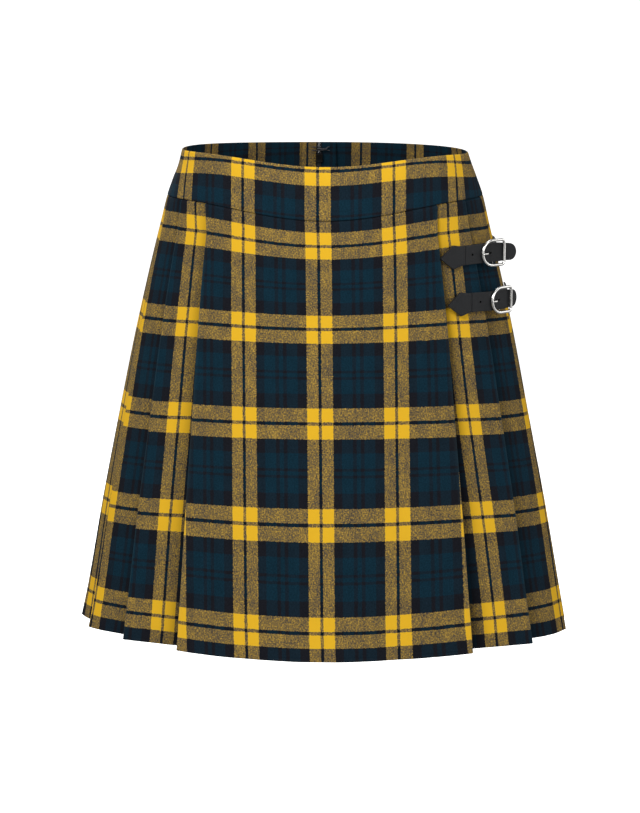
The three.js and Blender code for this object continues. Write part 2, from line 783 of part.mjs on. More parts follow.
const leftZip = CENTRE_BACK - 2 * Math.PI + SLIT_ROOM;
const rightZip = CENTRE_BACK - SLIT_ROOM;
const sideSeam = SIDE_SEAM + YOKE_ROOM;
addMesh("yoke_front", yokePiece(YOKE_ROOM - SIDE_SEAM, SIDE_SEAM - YOKE_ROOM, 26), FINISHES.yoke);
addMesh("yoke_back_left", yokePiece(leftZip, -sideSeam, 13), FINISHES.yoke);
addMesh("yoke_back_right", yokePiece(sideSeam, rightZip, 13), FINISHES.yoke);
addMesh("skirt_front", skirtFront(), FINISHES.cloth);
addMesh("skirt_back_left", skirtBack("left"), FINISHES.cloth);
addMesh("skirt_back_right", skirtBack("right"), FINISHES.cloth);

for (const strap of STRAPS) {
  addMesh(`strap_${strap.name}`, strapSolid(strap), FINISHES.leather);
  addMesh(`anchor_${strap.name}`, anchorSolid(strap), FINISHES.leather);
  addMesh(`buckle_${strap.name}`, buckleFrame(strap), FINISHES.steel);
  addMesh(`pin_${strap.name}`, bucklePin(strap), FINISHES.steel);
}
addMesh("zip_tape_left", zipTape(-1), FINISHES.tape);
addMesh("zip_tape_right", zipTape(1), FINISHES.tape);
addMesh("zip_slider", sliderSolid(), FINISHES.zipMetal);
addMesh("zip_pull", pullSolid(), FINISHES.zipMetal);
addMesh("waist_hook", fastenerSolid(HOOK_SPOTS), FINISHES.zipMetal);
addMesh("waist_eye", fastenerSolid(EYE_SPOTS), FINISHES.zipMetal);

export default root;
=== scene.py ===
"""The looks of a pleated plaid skirt with two buckled leather straps, dressed on its CAD frame.

Lengths are in millimetres up to the mesh, which is in metres. +Z is up, the front faces -Y.
"""

import contextlib
import functools
import math

import bmesh
import bpy
import numpy as np
from mathutils import Matrix, Vector


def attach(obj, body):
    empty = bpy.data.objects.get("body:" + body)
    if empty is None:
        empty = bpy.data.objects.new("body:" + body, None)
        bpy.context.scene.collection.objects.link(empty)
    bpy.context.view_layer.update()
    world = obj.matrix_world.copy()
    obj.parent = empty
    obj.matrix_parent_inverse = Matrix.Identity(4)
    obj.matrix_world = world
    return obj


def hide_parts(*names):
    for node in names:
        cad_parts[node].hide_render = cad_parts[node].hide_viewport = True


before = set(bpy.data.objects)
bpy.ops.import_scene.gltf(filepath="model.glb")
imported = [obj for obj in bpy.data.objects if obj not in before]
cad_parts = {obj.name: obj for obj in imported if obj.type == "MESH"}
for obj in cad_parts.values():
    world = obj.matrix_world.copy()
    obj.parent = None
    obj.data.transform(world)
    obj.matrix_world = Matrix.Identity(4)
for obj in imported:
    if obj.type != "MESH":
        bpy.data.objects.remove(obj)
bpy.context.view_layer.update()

MM = 0.001
DEGREE = math.pi / 180

# The garment's outside, a row for each weft line of the plaid: the drops at the left side,
# right side, front and back, half the width, the depths in front and behind, and how much
# higher than the blend of these the row runs halfway from the front to the sides.
ROWS = np.array(
    [
        [-1, 2, 4, 3, 126.9, 92, 92, 3.6],
        [10, 10, 7, 9, 129.6, 93.5, 94, 5],
        [25, 25, 27, 26, 135.2, 98.5, 100, 4.8],
        [39.5, 39.5, 49, 44, 140.3, 103, 106, 4.6],
        [65, 66.5, 70.6, 68, 147.1, 107, 112, 3.9],
        [146.5, 147.5, 141.7, 146, 166.5, 117, 126, 2.2],
        [230, 233.5, 223.1, 230, 184, 127, 136, 0.8],
        [315, 318.7, 310.8, 316, 201, 136, 143, 1],
        [400.5, 404.5, 405.2, 404, 216.4, 143, 148, 1],
        [425, 432, 430.7, 430, 221.4, 145, 150, 0.8],
    ]
)
ROW_RUN = np.array([0, 6.5, 23, 39.5, 66, 151, 236, 321, 406, 432])  # mm down the cloth
FRONT_DIP = 0.35  # how far the middle of the front hangs, as a share of the saddle
SEAM_ROW = 3
HEM_ROW = 9

# The plaid's weft, as mm below the dark line at each row: left, right, front and back
YOKE_WEFT = np.array([[-6, -8.5, -3.2], [4, 0, 0], [21.4, 15.9, 21], [38.3, 31.3, 44]])
BACK_YOKE_TOP = 28  # the back of the waistband starts in the dark part of the plaid
SKIRT_WEFT = [0, 85, 170, 255, 340, 366]
SEAM_WEFT = {"left": -26, "right": -28.5, "front": -22.3, "back": -25}
WARP_REPEAT = 66
PAIR = 22  # the warp starts with a pair of yellow stripes this wide
WEFT_REPEAT = 85
# Inside the waistband's back the plaid is smaller, and counted from the zip
BACK_YOKE_SCALE = {"left": 0.74, "right": 0.8}
BACK_YOKE_PAIR = {"left": 9, "right": 38}  # mm from the zip to the middle of the first pair
BACK_YOKE_FALL = (37.5, 37.5, 41, 41)  # mm of weft to the seam: left, right, front, back

# Each fold's edge round the skirt, in degrees from the front at the seam and at the hem
FOLDS = {
    "left": [
        (47.8, 36), (64, 54), (80.5, 73), (97, 91),
        (113.5, 109), (130, 127), (146.5, 144.5), (163, 162),
    ],
    "right": [
        (43.7, 35.7), (60.5, 56.2), (77.5, 80), (94.5, 97),
        (111.6, 113.5), (128.7, 130), (145.8, 146.5), (162.9, 163),
    ],
}
LAST_PLEAT = 8
SIDE_PLEAT = 2
BACK_TURN = -2.3  # degrees from the middle of the back to the zip, minus to the left
CENTRE_BACK = (180 - BACK_TURN) * DEGREE
TUCK = (13.5, 7.2)  # degrees that a pleat turns under, at the seam and at the hem
LAYER = 1.7  # mm from one layer of cloth to the next
WALL = 1.2  # the thickness of the CAD's cloth
CLOTH = 1.05  # the thickness that shows
OPEN_DEPTH = 17  # mm that a face starts behind the fold before it, at the hem
SEAM = 0.3  # mm between pieces that are sewn or lie together
PLEAT_TAKES = {"left": (104, 94), "right": (99, 99)}  # mm of cloth from pleat to pleat
FIRST_JUNCTION = 198
FIRST_LAG = {"left": (4.4, 0.2), "right": (13, 0.3)}  # mm at the hem, and where it starts
# The stripes move out towards the apron's lower right corner, by 5.2 mm at 105 mm across
APRON_SPREAD = {"most": 5.2, "from": 40, "over": 65, "limit": 1.3, "start": 0.35}
PLAID_SHARE = {"apron": 0.99, "yoke": 0.985}  # mm of the plaid's warp to a mm of cloth


def lerp(a, b, t):
    return a + (b - a) * t


def smooth(t):
    t = min(max(t, 0.0), 1.0)
    return t * t * (3 - 2 * t)


def distances(points):
    """How far along a line each of its points lies."""
    return np.concatenate([[0], np.cumsum(np.linalg.norm(np.diff(points, axis=0), axis=1))])


def on_line(at, run, values):
    """The values at a distance along a line, from those of its points."""
    return np.array([np.interp(at, run, column) for column in values.T])


def row_tangents():
    step = np.diff(ROW_RUN)[:, None]
    slope = np.diff(ROWS, axis=0) / step
    tangents = np.empty_like(ROWS)
    tangents[0], tangents[-1] = slope[0], slope[-1]
    tangents[1:-1] = (slope[:-1] * step[1:] + slope[1:] * step[:-1]) / (step[:-1] + step[1:])
    return tangents


ROW_TANGENTS = row_tangents()


def row_sizes(row):
    """The sizes at a row, which may be a fraction, on a smooth curve through all of them."""
    row = np.clip(row, 0, HEM_ROW)
    low = np.minimum(np.floor(row).astype(int), HEM_ROW - 1)
    t = (row - low)[..., None]
    step = (ROW_RUN[low + 1] - ROW_RUN[low])[..., None]
    square, cube = t * t, t * t * t
    return (
        (2 * cube - 3 * square + 1) * ROWS[low]
        + (cube - 2 * square + t) * step * ROW_TANGENTS[low]
        + (3 * square - 2 * cube) * ROWS[low + 1]
        + (cube - square) * step * ROW_TANGENTS[low + 1]
    )


def round_blend(angle, left, right, front, back):
    """A value that changes round the body from the sides to the front and back."""
    sin, cos = np.sin(angle), np.cos(angle)
    side = np.where(sin > 0, right, left)
    middle = np.where(cos > 0, front, back)
    return side + (middle - side) * cos * cos


def saddle(angle, size):
    cos = np.cos(angle)
    bend = FRONT_DIP * cos**8 - np.sin(2 * angle) ** 2
    return np.where(cos > 0, size * bend, 0)


def down_skirt(row):
    return np.clip((row - SEAM_ROW) / (HEM_ROW - SEAM_ROW), 0, 1)


# Size in mm, waves round the body, where they start and how they drift down the skirt
SWELLS = [(0.9, 5, 1.1, 0.7), (0.7, 11, -0.6, 1.9)]
RIPPLES = [(0.24, 23, 0, 5), (0.16, 41, 2, -9)]


def waves(table, angle, t):
    return sum(size * np.sin(count * angle + start + drift * t) for size, count, start, drift in table)


def drape(angle, row):
    """Soft swells of the hanging cloth, nothing at the seam and most at the hem."""
    t = down_skirt(row)
    return t * t * waves(SWELLS, angle, t) + np.minimum(t * 2, 1) * waves(RIPPLES, angle, t)


def shell(angle, row, out):
    """Points of the outside, moved out along its normal."""
    angle, row, out = np.broadcast_arrays(*(np.asarray(a, float) for a in (angle, row, out)))
    sizes = row_sizes(row)
    sin, cos = np.sin(angle), np.cos(angle)
    half = sizes[..., 4]
    depth = np.where(cos > 0, sizes[..., 5], sizes[..., 6])
    across, ahead = sin / half, -cos / depth
    length = np.hypot(across, ahead)
    out = out + drape(angle, row)
    drop = round_blend(angle, *(sizes[..., i] for i in range(4))) + saddle(angle, sizes[..., 7])
    return np.stack(
        [half * sin + across / length * out, -depth * cos + ahead / length * out, -drop], axis=-1
    )


def fold_angle(side, fold, row):
    if fold == LAST_PLEAT:
        return (180 - (-BACK_TURN if side == "left" else BACK_TURN)) * DEGREE
    at_seam, at_hem = FOLDS[side][fold]
    rest = 1 - down_skirt(row)
    return lerp(at_hem, at_seam, rest * rest) * DEGREE


def tuck_angle(row):
    return lerp(TUCK[0], TUCK[1], down_skirt(row)) * DEGREE


def pleat_depth(row):
    return lerp(2 * LAYER, OPEN_DEPTH, down_skirt(row))


FIRST_RISE = 0.14  # share of a face that rises straight from behind the fold before it


def face_sink(share, row):
    power = lerp(0.1, 1, min(1, down_skirt(row) / 0.7))
    share = np.asarray(share, float)
    curve = np.maximum(share, FIRST_RISE) ** power
    straight = FIRST_RISE**power * share / FIRST_RISE
    return -pleat_depth(row) * (1 - np.where(share < FIRST_RISE, straight, curve))


def sink_above(side, fold, share, row):
    if fold == 0:
        return np.zeros_like(share)
    wide = fold_angle(side, fold, row) - fold_angle(side, fold - 1, row)
    return face_sink(np.maximum(0.02, 1 - share * tuck_angle(row) / wide), row)


# Places along a face, along a tuck, and round the turn of a fold
FACE_SHARES = np.array([0.03, 0.07, 0.14, 0.2, 0.28, 0.37, 0.47, 0.57, 0.67, 0.77, 0.86, 0.93, 0.98])
# painted shade across a face, darkest where it comes out from under the fold before it
FACE_SHADE = np.array([1, 1, 0.85, 0.55, 0.25, 0.08, 0, 0, 0, 0, 0, 0, 0])
TUCK_SHARES = np.array([0.05, 0.2, 0.38, 0.56, 0.74, 0.9, 0.97])
EDGE_TURNS = np.array([0, 40, 90, 140, 180]) * DEGREE
EDGE_PRESS = np.array([0.3, 1, 1, 0.6, 0])
CREASE_TURNS = np.array([45, 90, 135]) * DEGREE


def body_radius(row):
    return float(row_sizes(np.array(float(row)))[4])


def layer_turn(row):
    """The angle round the body that half a layer takes."""
    return LAYER / 2 / (0.8 * body_radius(row))


def face_span(side, pleat, row):
    return fold_angle(side, pleat - 1, row), fold_angle(side, pleat, row)


def face(side, pleat, row):
    start, end = face_span(side, pleat, row)
    return lerp(start, end, FACE_SHARES), face_sink(FACE_SHARES, row)


def fold_edge(side, fold, row):
    turn = layer_turn(row)
    angle = fold_angle(side, fold, row) + turn * np.sin(EDGE_TURNS)
    return angle, LAYER / 2 * (np.cos(EDGE_TURNS) - 1)


def under_layer(side, fold, row):
    angle = fold_angle(side, fold, row) - TUCK_SHARES * tuck_angle(row)
    return angle, sink_above(side, fold, TUCK_SHARES, row) - LAYER


def inner_crease(side, fold, row):
    turn = layer_turn(row)
    angle = fold_angle(side, fold, row) - tuck_angle(row) - turn * np.sin(CREASE_TURNS)
    above = sink_above(side, fold, np.ones(1), row)
    return angle, above - 1.5 * LAYER + LAYER / 2 * np.cos(CREASE_TURNS)


def return_layer(side, fold, row):
    shares = np.append(TUCK_SHARES[::-1], 0)
    angle = fold_angle(side, fold, row) - shares * tuck_angle(row)
    inner = sink_above(side, fold, np.ones(1), row) - 2 * LAYER
    sink = lerp(-pleat_depth(row), inner, shares)
    return angle, np.minimum(sink, sink_above(side, fold, shares, row) - 2 * LAYER)


HIDDEN_MOST = 15  # mm


def hidden_run(side, pleat, row):
    """How much of a face the fold before it hides from the front."""
    if pleat > SIDE_PLEAT + 1:
        return 0
    shares = np.linspace(0, 1, 41)
    start, end = face_span(side, pleat, row)
    points = shell(lerp(start, end, shares), row, face_sink(shares, row) - WALL / 2)
    run = distances(points)
    edge = shell(start, row, 0)[0]
    across = np.maximum.accumulate(points[:, 0])
    return min(float(np.interp(edge, across, run)), HIDDEN_MOST)


def junction_warp(side, pleat, row):
    """The plaid's warp at the line where a pleat's face comes out from under the last."""
    takes = PLEAT_TAKES[side]
    warp = FIRST_JUNCTION + sum(takes[(i + 1) % 2] for i in range(1, pleat))
    warp -= hidden_run(side, pleat, row)
    if pleat == 1:
        most, start = FIRST_LAG[side]
        warp -= most * smooth((down_skirt(row) - start) / 0.6)
    return warp


def edge_wear_and_fold_shade(part, row, count):
    """1 on a fold's sharp edge, which wears paler, and below 0 deep in a fold, for painted shade."""
    if part is fold_edge:
        return EDGE_PRESS
    if part is face:
        # painted shade on a face next to the fold that covers it, stronger down the skirt
        return -FACE_SHADE * (0.25 + 0.75 * float(down_skirt(row)))
    # painted shade on the under layers and creases inside a tuck
    return np.full(count, -0.6)


def side_path(side, row, parts, start_warp=None):
    """Angles, sinks, warps, and the worn edges and painted fold shade, along some parts of a side,
    going outwards.
    """
    angles, sinks, wear_and_shade_marks, knots = [], [], [], []
    count = 0
    for part, number in parts:
        angle, sink = part(side, number, row)
        if part is face:
            knots.append((count - 1, junction_warp(side, number, row), "junction"))
            knots.append((count + len(angle), None, "edge"))
        angles.append(angle)
        sinks.append(sink)
        wear_and_shade_marks.append(edge_wear_and_fold_shade(part, row, len(angle)))
        count += len(angle)
    angles, sinks, wear_and_shade_marks = np.concatenate(angles), np.concatenate(sinks), np.concatenate(wear_and_shade_marks)
    sign = -1 if side == "left" else 1
    points = shell(sign * angles, row, sinks - WALL / 2)
    run = distances(points)
    at, warp = [], []
    if start_warp is not None:
        at.append(0)
        warp.append(start_warp)
    for index, value, kind in knots:
        value = warp[-1] + run[index] - at[-1] if kind == "edge" else value
        at.append(run[index])
        warp.append(value)
    if start_warp is None:
        at.insert(0, 0)
        warp.insert(0, warp[0] - at[1])
    if run[-1] > at[-1] + 1e-6:
        at.append(run[-1])
        warp.append(warp[-1] + run[-1] - at[-2])
    return points, np.interp(run, at, warp), wear_and_shade_marks, sign * angles


def whole_tuck(fold):
    return [(fold_edge, fold), (under_layer, fold), (inner_crease, fold), (return_layer, fold)]


APRON_STEPS = 72
PLAID_LEAN = (-6.6, -2.1)  # mm across of the middle pair of stripes at the seam and at the hem


def apron_angles(row, count):
    return np.linspace(-fold_angle("left", 0, row), fold_angle("right", 0, row), count)


def apron_path(row):
    angles = apron_angles(row, APRON_STEPS + 1)[1:-1]
    points = shell(angles, row, -WALL / 2)
    return points, flat_warp(points, row), np.zeros(len(angles)), angles


def flat_warp(points, row):
    run = distances(points)
    t = float(down_skirt(row))
    middle = np.interp(lerp(*PLAID_LEAN, t), points[:, 0], run)
    reach = (points[:, 0] - APRON_SPREAD["from"]) / APRON_SPREAD["over"]
    reach = np.clip(reach, 0, APRON_SPREAD["limit"]) ** 2
    low = max(0, (t - APRON_SPREAD["start"]) / (1 - APRON_SPREAD["start"]))
    warp = PAIR / 2 + (run - middle) * PLAID_SHARE["apron"]
    return warp - APRON_SPREAD["most"] * low * reach


def edge_warps(row):
    """The plaid's warp at the apron's two edges, each as it counts outwards."""
    points = shell(apron_angles(row, 2 * APRON_STEPS), row, -WALL / 2)
    warp = flat_warp(points, row)
    return PAIR - warp[0], warp[-1]


def front_path(row):
    parts = whole_tuck(0) + [(face, 1)] + whole_tuck(1)
    parts += [(face, 2), (fold_edge, 2), (under_layer, 2)]
    left_start, right_start = edge_warps(row)
    left = side_path("left", row, parts, left_start)
    right = side_path("right", row, parts, right_start)
    left = (left[0], PAIR - left[1], left[2], left[3])
    joined = zip((a[::-1] for a in left), apron_path(row), right)
    return [np.concatenate(group) for group in joined]


def back_path(side, row):
    parts = [(return_layer, SIDE_PLEAT)]
    for pleat in range(SIDE_PLEAT + 1, LAST_PLEAT + 1):
        parts += [(face, pleat)] + whole_tuck(pleat)
    points, warp, wear_and_shade_marks, angles = side_path(side, row, parts)
    sign = -1 if side == "left" else 1
    middle = float(shell(CENTRE_BACK, row, 0)[0])
    near = (points[:, 1] > 0) & (sign * (points[:, 0] - middle) < SEAM + WALL / 4)
    points[near, 0] = middle + sign * (SEAM + WALL / 4)
    # the under layers meet at the centre back seam
    points[-1, 0] = middle + sign * 0.05
    return points, warp, wear_and_shade_marks, angles


def skirt_weft(angle, row):
    row = float(row)
    seam = round_blend(angle, *(SEAM_WEFT[k] for k in ("left", "right", "front", "back")))
    if row < SEAM_ROW + 1:
        return seam * (SEAM_ROW + 1 - row)
    return np.full(len(angle), np.interp(row, range(SEAM_ROW + 1, HEM_ROW + 1), SKIRT_WEFT))


def offset_path(points, distance):
    """Moves a path in plan to one side, with mitred corners."""
    step = np.diff(points[:, :2], axis=0)
    step /= np.maximum(np.linalg.norm(step, axis=1), 1e-9)[:, None]
    into = np.vstack([step[:1], step])
    away = np.vstack([step, step[-1:]])
    along = into + away
    along /= np.maximum(np.linalg.norm(along, axis=1), 1e-9)[:, None]
    stretch = np.minimum(1 / np.maximum((along * into).sum(axis=1), 0.5), 1.6)
    moved = points.copy()
    moved[:, 0] += along[:, 1] * distance * stretch
    moved[:, 1] -= along[:, 0] * distance * stretch
    return moved


def cloth_piece(name, rows, path_at):
    """A closed wall of cloth through the paths of all rows, with the plaid's own map.

    rows holds for each ring its row, half its thickness and how far it is pushed out.
    path_at gives a row's points, its warp and weft in mm, and for each point a number above 0 for a
    worn, paler edge and below 0 for painted shade in a fold."""
    rings, warps, wefts, wear_and_shade_marks = [], [], [], []
    for row, half, push in rows:
        points, warp, weft, wear_and_fold_shade = path_at(row, push)
        rings.append(np.vstack([offset_path(points, half), offset_path(points, -half)[::-1]]))
        warps.append(np.concatenate([warp, warp[::-1]]))
        wefts.append(np.concatenate([weft, weft[::-1]]))
        wear_and_shade_marks.append(np.concatenate([wear_and_fold_shade, 0 * wear_and_fold_shade]))
    count = len(rings[0])
    faces = []
    for r in range(len(rings) - 1):
        for i in range(count):
            j = (i + 1) % count
            faces.append((r * count + i, (r + 1) * count + i, (r + 1) * count + j, r * count + j))
    last = (len(rings) - 1) * count
    for i in range(count // 2 - 1):
        far = count - 1 - i
        faces.append((i, i + 1, far - 1, far))
        faces.append((last + far, last + far - 1, last + i + 1, last + i))
    piece = solid_piece(name, np.concatenate(rings) * MM, faces)
    write_map(piece, np.concatenate(warps) * MM, np.concatenate(wefts) * MM)
    # worn edges above 0 and painted fold shade below 0, which the cloth's material reads
    write_number(piece, "wear_and_fold_shade", np.concatenate(wear_and_shade_marks))
    return piece


def add_piece(name, data):
    piece = bpy.data.objects.new(name, data)
    bpy.context.scene.collection.objects.link(piece)
    return piece


def mesh_piece(name, points, faces):
    mesh = bpy.data.meshes.new(name)
    mesh.from_pydata([tuple(p) for p in points], [], faces)
    mesh.shade_smooth()
    return add_piece(name, mesh)


def solid_piece(name, points, faces):
    piece = mesh_piece(name, points, faces)
    face_out(piece)
    return piece


def face_out(piece):
    work = bmesh.new()
    work.from_mesh(piece.data)
    if work.calc_volume(signed=True) < 0:
        bmesh.ops.reverse_faces(work, faces=work.faces)
    work.to_mesh(piece.data)
    work.free()


def write_map(piece, across, down):
    layer = piece.data.uv_layers.new(name="cloth")
    corners = np.zeros(len(piece.data.loops), dtype=np.int32)
    piece.data.loops.foreach_get("vertex_index", corners)
    values = np.stack([across[corners], down[corners]], axis=-1)
    layer.data.foreach_set("uv", values.astype(np.float32).ravel())


def write_number(piece, name, values):
    layer = piece.data.attributes.new(name, "FLOAT", "POINT")
    layer.data.foreach_set("value", values.astype(np.float32))


def drop_rows(start, end, step):
    """Rows between two, about step mm apart down the cloth."""
    run = np.interp([start, end], range(len(ROW_RUN)), ROW_RUN)
    count = max(2, round((run[1] - run[0]) / step))
    return np.interp(np.linspace(*run, count + 1), ROW_RUN, range(len(ROW_RUN)))


HALF = CLOTH / 2
BEHIND = -(WALL + 0.5)  # the seam allowance lies behind the waistband
ZIP_CLEAR = {"radius": 140, "from": 22, "over": 6}  # mm of allowance cut away beside the zip
ALLOWANCE_LONG = 16  # mm of cloth to a row


def skirt_rows():
    rows = [(SEAM_ROW - 0.5, 0.2, BEHIND), (SEAM_ROW - 0.48, HALF - 0.1, BEHIND)]
    rows += [(SEAM_ROW - 0.2, HALF - 0.1, BEHIND), (SEAM_ROW + 0.004, HALF - 0.1, BEHIND)]
    rows += [(SEAM_ROW + 0.018, HALF - 0.05, -1.1), (SEAM_ROW + 0.032, HALF, -0.35)]
    rows += [(SEAM_ROW + 0.06, HALF, -0.05)]
    rows += [(row, HALF, 0) for row in drop_rows(SEAM_ROW + 0.14, HEM_ROW - 0.06, 5.5)]
    rows += [(HEM_ROW - 0.03, HALF, 0), (HEM_ROW - 0.012, HALF - 0.1, 0), (HEM_ROW, 0.2, 0)]
    return rows


def allowance_row(angles, row):
    """The allowance is cut away near the zip."""
    off_zip = np.abs((np.abs(angles) - np.pi) * ZIP_CLEAR["radius"])
    keep = np.clip((off_zip - ZIP_CLEAR["from"]) / ZIP_CLEAR["over"], 0, 1)
    return np.where(row < SEAM_ROW, SEAM_ROW - (SEAM_ROW - row) * keep, row)


def pleated(path):
    def path_at(row, push):
        along = max(row, SEAM_ROW)
        points, warp, wear_and_fold_shade, angles = path(along)
        weft = skirt_weft(angles, along)
        if push:
            away = shell(angles, along, 1) - shell(angles, along, 0)
            points = points + away * push
        if row < SEAM_ROW:
            lifted = allowance_row(angles, row)
            points = points + shell(angles, lifted, 0) - shell(angles, SEAM_ROW, 0)
            weft = weft - (SEAM_ROW - lifted) * ALLOWANCE_LONG
        return points, warp, weft, wear_and_fold_shade

    return path_at


def yoke_rows():
    rows = [(0, 0.15, -0.15), (0.04, HALF - 0.1, 0), (0.1, HALF, 0)]
    rows += [(row, HALF, 0) for row in drop_rows(0.25, SEAM_ROW - 0.09, 2.6)]
    rows += [(SEAM_ROW - 0.04, HALF, -0.02), (SEAM_ROW - 0.015, HALF - 0.08, -0.15)]
    return rows + [(SEAM_ROW - 0.006, 0.2, -0.35)]


def yoke(start, end, steps, back):
    angles = np.linspace(start, end, steps + 1)

    def path_at(row, push):
        points = shell(angles, row, push - WALL / 2)
        run = distances(points)
        if back:
            warp = yoke_back_warp(run, start > 0)
            fall = round_blend(angles, *BACK_YOKE_FALL) * row / SEAM_ROW
            return points, warp, BACK_YOKE_TOP + fall, np.zeros(len(angles))
        centre = np.interp(PLAID_LEAN[0], points[:, 0], run)
        warp = PAIR / 2 + (run - centre) * PLAID_SHARE["yoke"]
        weft = [np.interp(row, range(SEAM_ROW + 1), YOKE_WEFT[:, i]) for i in range(3)]
        return points, warp, round_blend(angles, *weft, weft[2]), np.zeros(len(angles))

    return path_at


def yoke_back_warp(run, right):
    if right:
        return PAIR / 2 - (run[-1] - run - BACK_YOKE_PAIR["right"]) / BACK_YOKE_SCALE["right"]
    return PAIR / 2 + (run - BACK_YOKE_PAIR["left"]) / BACK_YOKE_SCALE["left"]


SIDE_SEAM = 90 * DEGREE
YOKE_ROOM = 0.00001  # radians between the pieces at the closed side seams
SLIT_ROOM = 0.0045
TAPE_THICK = 1
FACING = {"from": 1.9, "to": 15.5, "half": 0.2, "end": 2.25}  # the edge turned in over the tape
FACING_IN = WALL + SEAM + TAPE_THICK + 0.05 + FACING["half"]


def zip_facings():
    """The waistband's edges beside the zip, turned in over its tapes."""
    into, half = WALL / 2 - FACING_IN, FACING["half"]
    rows = [(0.06, half / 2, into), (0.12, half, into)]
    rows += [(row, half, into) for row in drop_rows(0.3, FACING["end"] - 0.1, 2.6)]
    rows += [(FACING["end"], half / 2, into)]
    near, far = (FACING[key] / ROWS[0, 4] for key in ("from", "to"))
    left = CENTRE_BACK - 2 * math.pi
    spans = {
        "left": (left + near, left + far),
        "right": (CENTRE_BACK - far, CENTRE_BACK - near),
    }
    return {
        side: cloth_piece("zip_facing_" + side, rows, yoke(*span, 6, True))
        for side, span in spans.items()
    }


def make_cloth():
    slit_left = CENTRE_BACK - 2 * math.pi + SLIT_ROOM
    yokes = {
        "yoke_front": (-SIDE_SEAM + YOKE_ROOM, SIDE_SEAM - YOKE_ROOM, 150, False),
        "yoke_back_left": (slit_left, -SIDE_SEAM - YOKE_ROOM, 76, True),
        "yoke_back_right": (SIDE_SEAM + YOKE_ROOM, CENTRE_BACK - SLIT_ROOM, 76, True),
    }
    panels = {
        "skirt_front": front_path,
        "skirt_back_left": functools.partial(back_path, "left"),
        "skirt_back_right": functools.partial(back_path, "right"),
    }
    made = {}
    for name, span in yokes.items():
        made[name] = cloth_piece(name + "_cloth", yoke_rows(), yoke(*span))
    for name, path in panels.items():
        made[name] = cloth_piece(name + "_cloth", skirt_rows(), pleated(path))
    return made


# Materials


def linear(code):
    """The linear colour of an sRGB hex value."""
    channels = [int(code[i : i + 2], 16) / 255 for i in (0, 2, 4)]
    return [c / 12.92 if c <= 0.04045 else ((c + 0.055) / 1.055) ** 2.4 for c in channels] + [1]


def set_inputs(node, values):
    """Inputs are numbers or colours to set, or sockets to link."""
    for key, value in values.items():
        if isinstance(value, bpy.types.NodeSocket):
            node.id_data.links.new(value, node.inputs[key])
        else:
            node.inputs[key].default_value = value


def add_node(tree, kind, *values, out=0, named=None, **settings):
    """Adds a node with its settings and its inputs, in order or by key, and gives an output."""
    node = tree.nodes.new("ShaderNode" + kind)
    for key, value in settings.items():
        setattr(node, key, value)
    set_inputs(node, dict(enumerate(values)) | (named or {}))
    return node.outputs[out]


def new_material(name):
    """A material, its shader, and add_node for its tree."""
    material = bpy.data.materials.new(name)
    material.use_nodes = True
    tree = material.node_tree
    return material, tree.nodes["Principled BSDF"], functools.partial(add_node, tree)


def set_stops(ramp, stops):
    for i, (at, colour) in enumerate(stops):
        stop = ramp.elements[i] if i < 2 else ramp.elements.new(at)
        stop.position, stop.color = at, colour


def bands(position, spans, repeat):
    """Turns a ramp into the bands of one repeat: spans holds each band's end and its colour."""
    ramp = position.node.color_ramp
    ramp.interpolation = "CONSTANT"
    starts = [0, *(end for end, _ in spans)]
    set_stops(ramp, [(start / repeat, colour) for start, (_, colour) in zip(starts, spans)])
    return position


RGB = {"data_type": "RGBA", "out": 2}  # a Mix node of colours: its share is 0, its colours 6 and 7
TIMES, PLUS = {"operation": "MULTIPLY"}, {"operation": "ADD"}
TIMES_PLUS, MOST = {"operation": "MULTIPLY_ADD"}, {"operation": "MAXIMUM"}
YES, NO = [1, 1, 1, 1], [0, 0, 0, 1]
TEAL = linear("102C3A")
BLACK = linear("1A1B21")
NAVY = linear("111B25")
YELLOW = linear("F3BF2C")
YELLOW_SHADE = linear("E3AB2F")
# Ends of the bands in mm, and whether each is yellow or which dark yarn it is
WARP_BANDS = [
    (9.7, True), (12.3, NAVY), (PAIR, True), (29.3, BLACK), (38.8, TEAL), (41.8, BLACK),
    (45.5, TEAL), (48.5, BLACK), (58, TEAL), (66, BLACK),
]
WEFT_BANDS = [
    (1.6, NAVY), (13.35, True), (25.55, BLACK), (38.4, TEAL), (40.7, BLACK), (43.9, TEAL),
    (46.2, BLACK), (59.05, TEAL), (71.65, BLACK), (83.4, True), (85, NAVY),
]
# Where yellow crosses dark, from the darkest specks to the brightest
MARL = [(0.32, "3F3833"), (0.41, "63594B"), (0.5, "836C3D"), (0.69, "D2AA49")]
# How the noise is stretched over the cloth, its specks to a millimetre, and its detail
GRAINS = {
    "along_warp": ((1, 0.5, 1), 1, 2.0),
    "along_weft": ((0.6, 1, 1), 1, 2.0),
    "cloudy": ((1, 0.6, 1), 0.09, 3.0),
    "fuzz": ((1, 1, 1), 2.2, 2.0),
}
WANDER = 1.1 * MM
RIBS = 1.4 * MM  # twill ribs, where the real ones are 0.8 mm


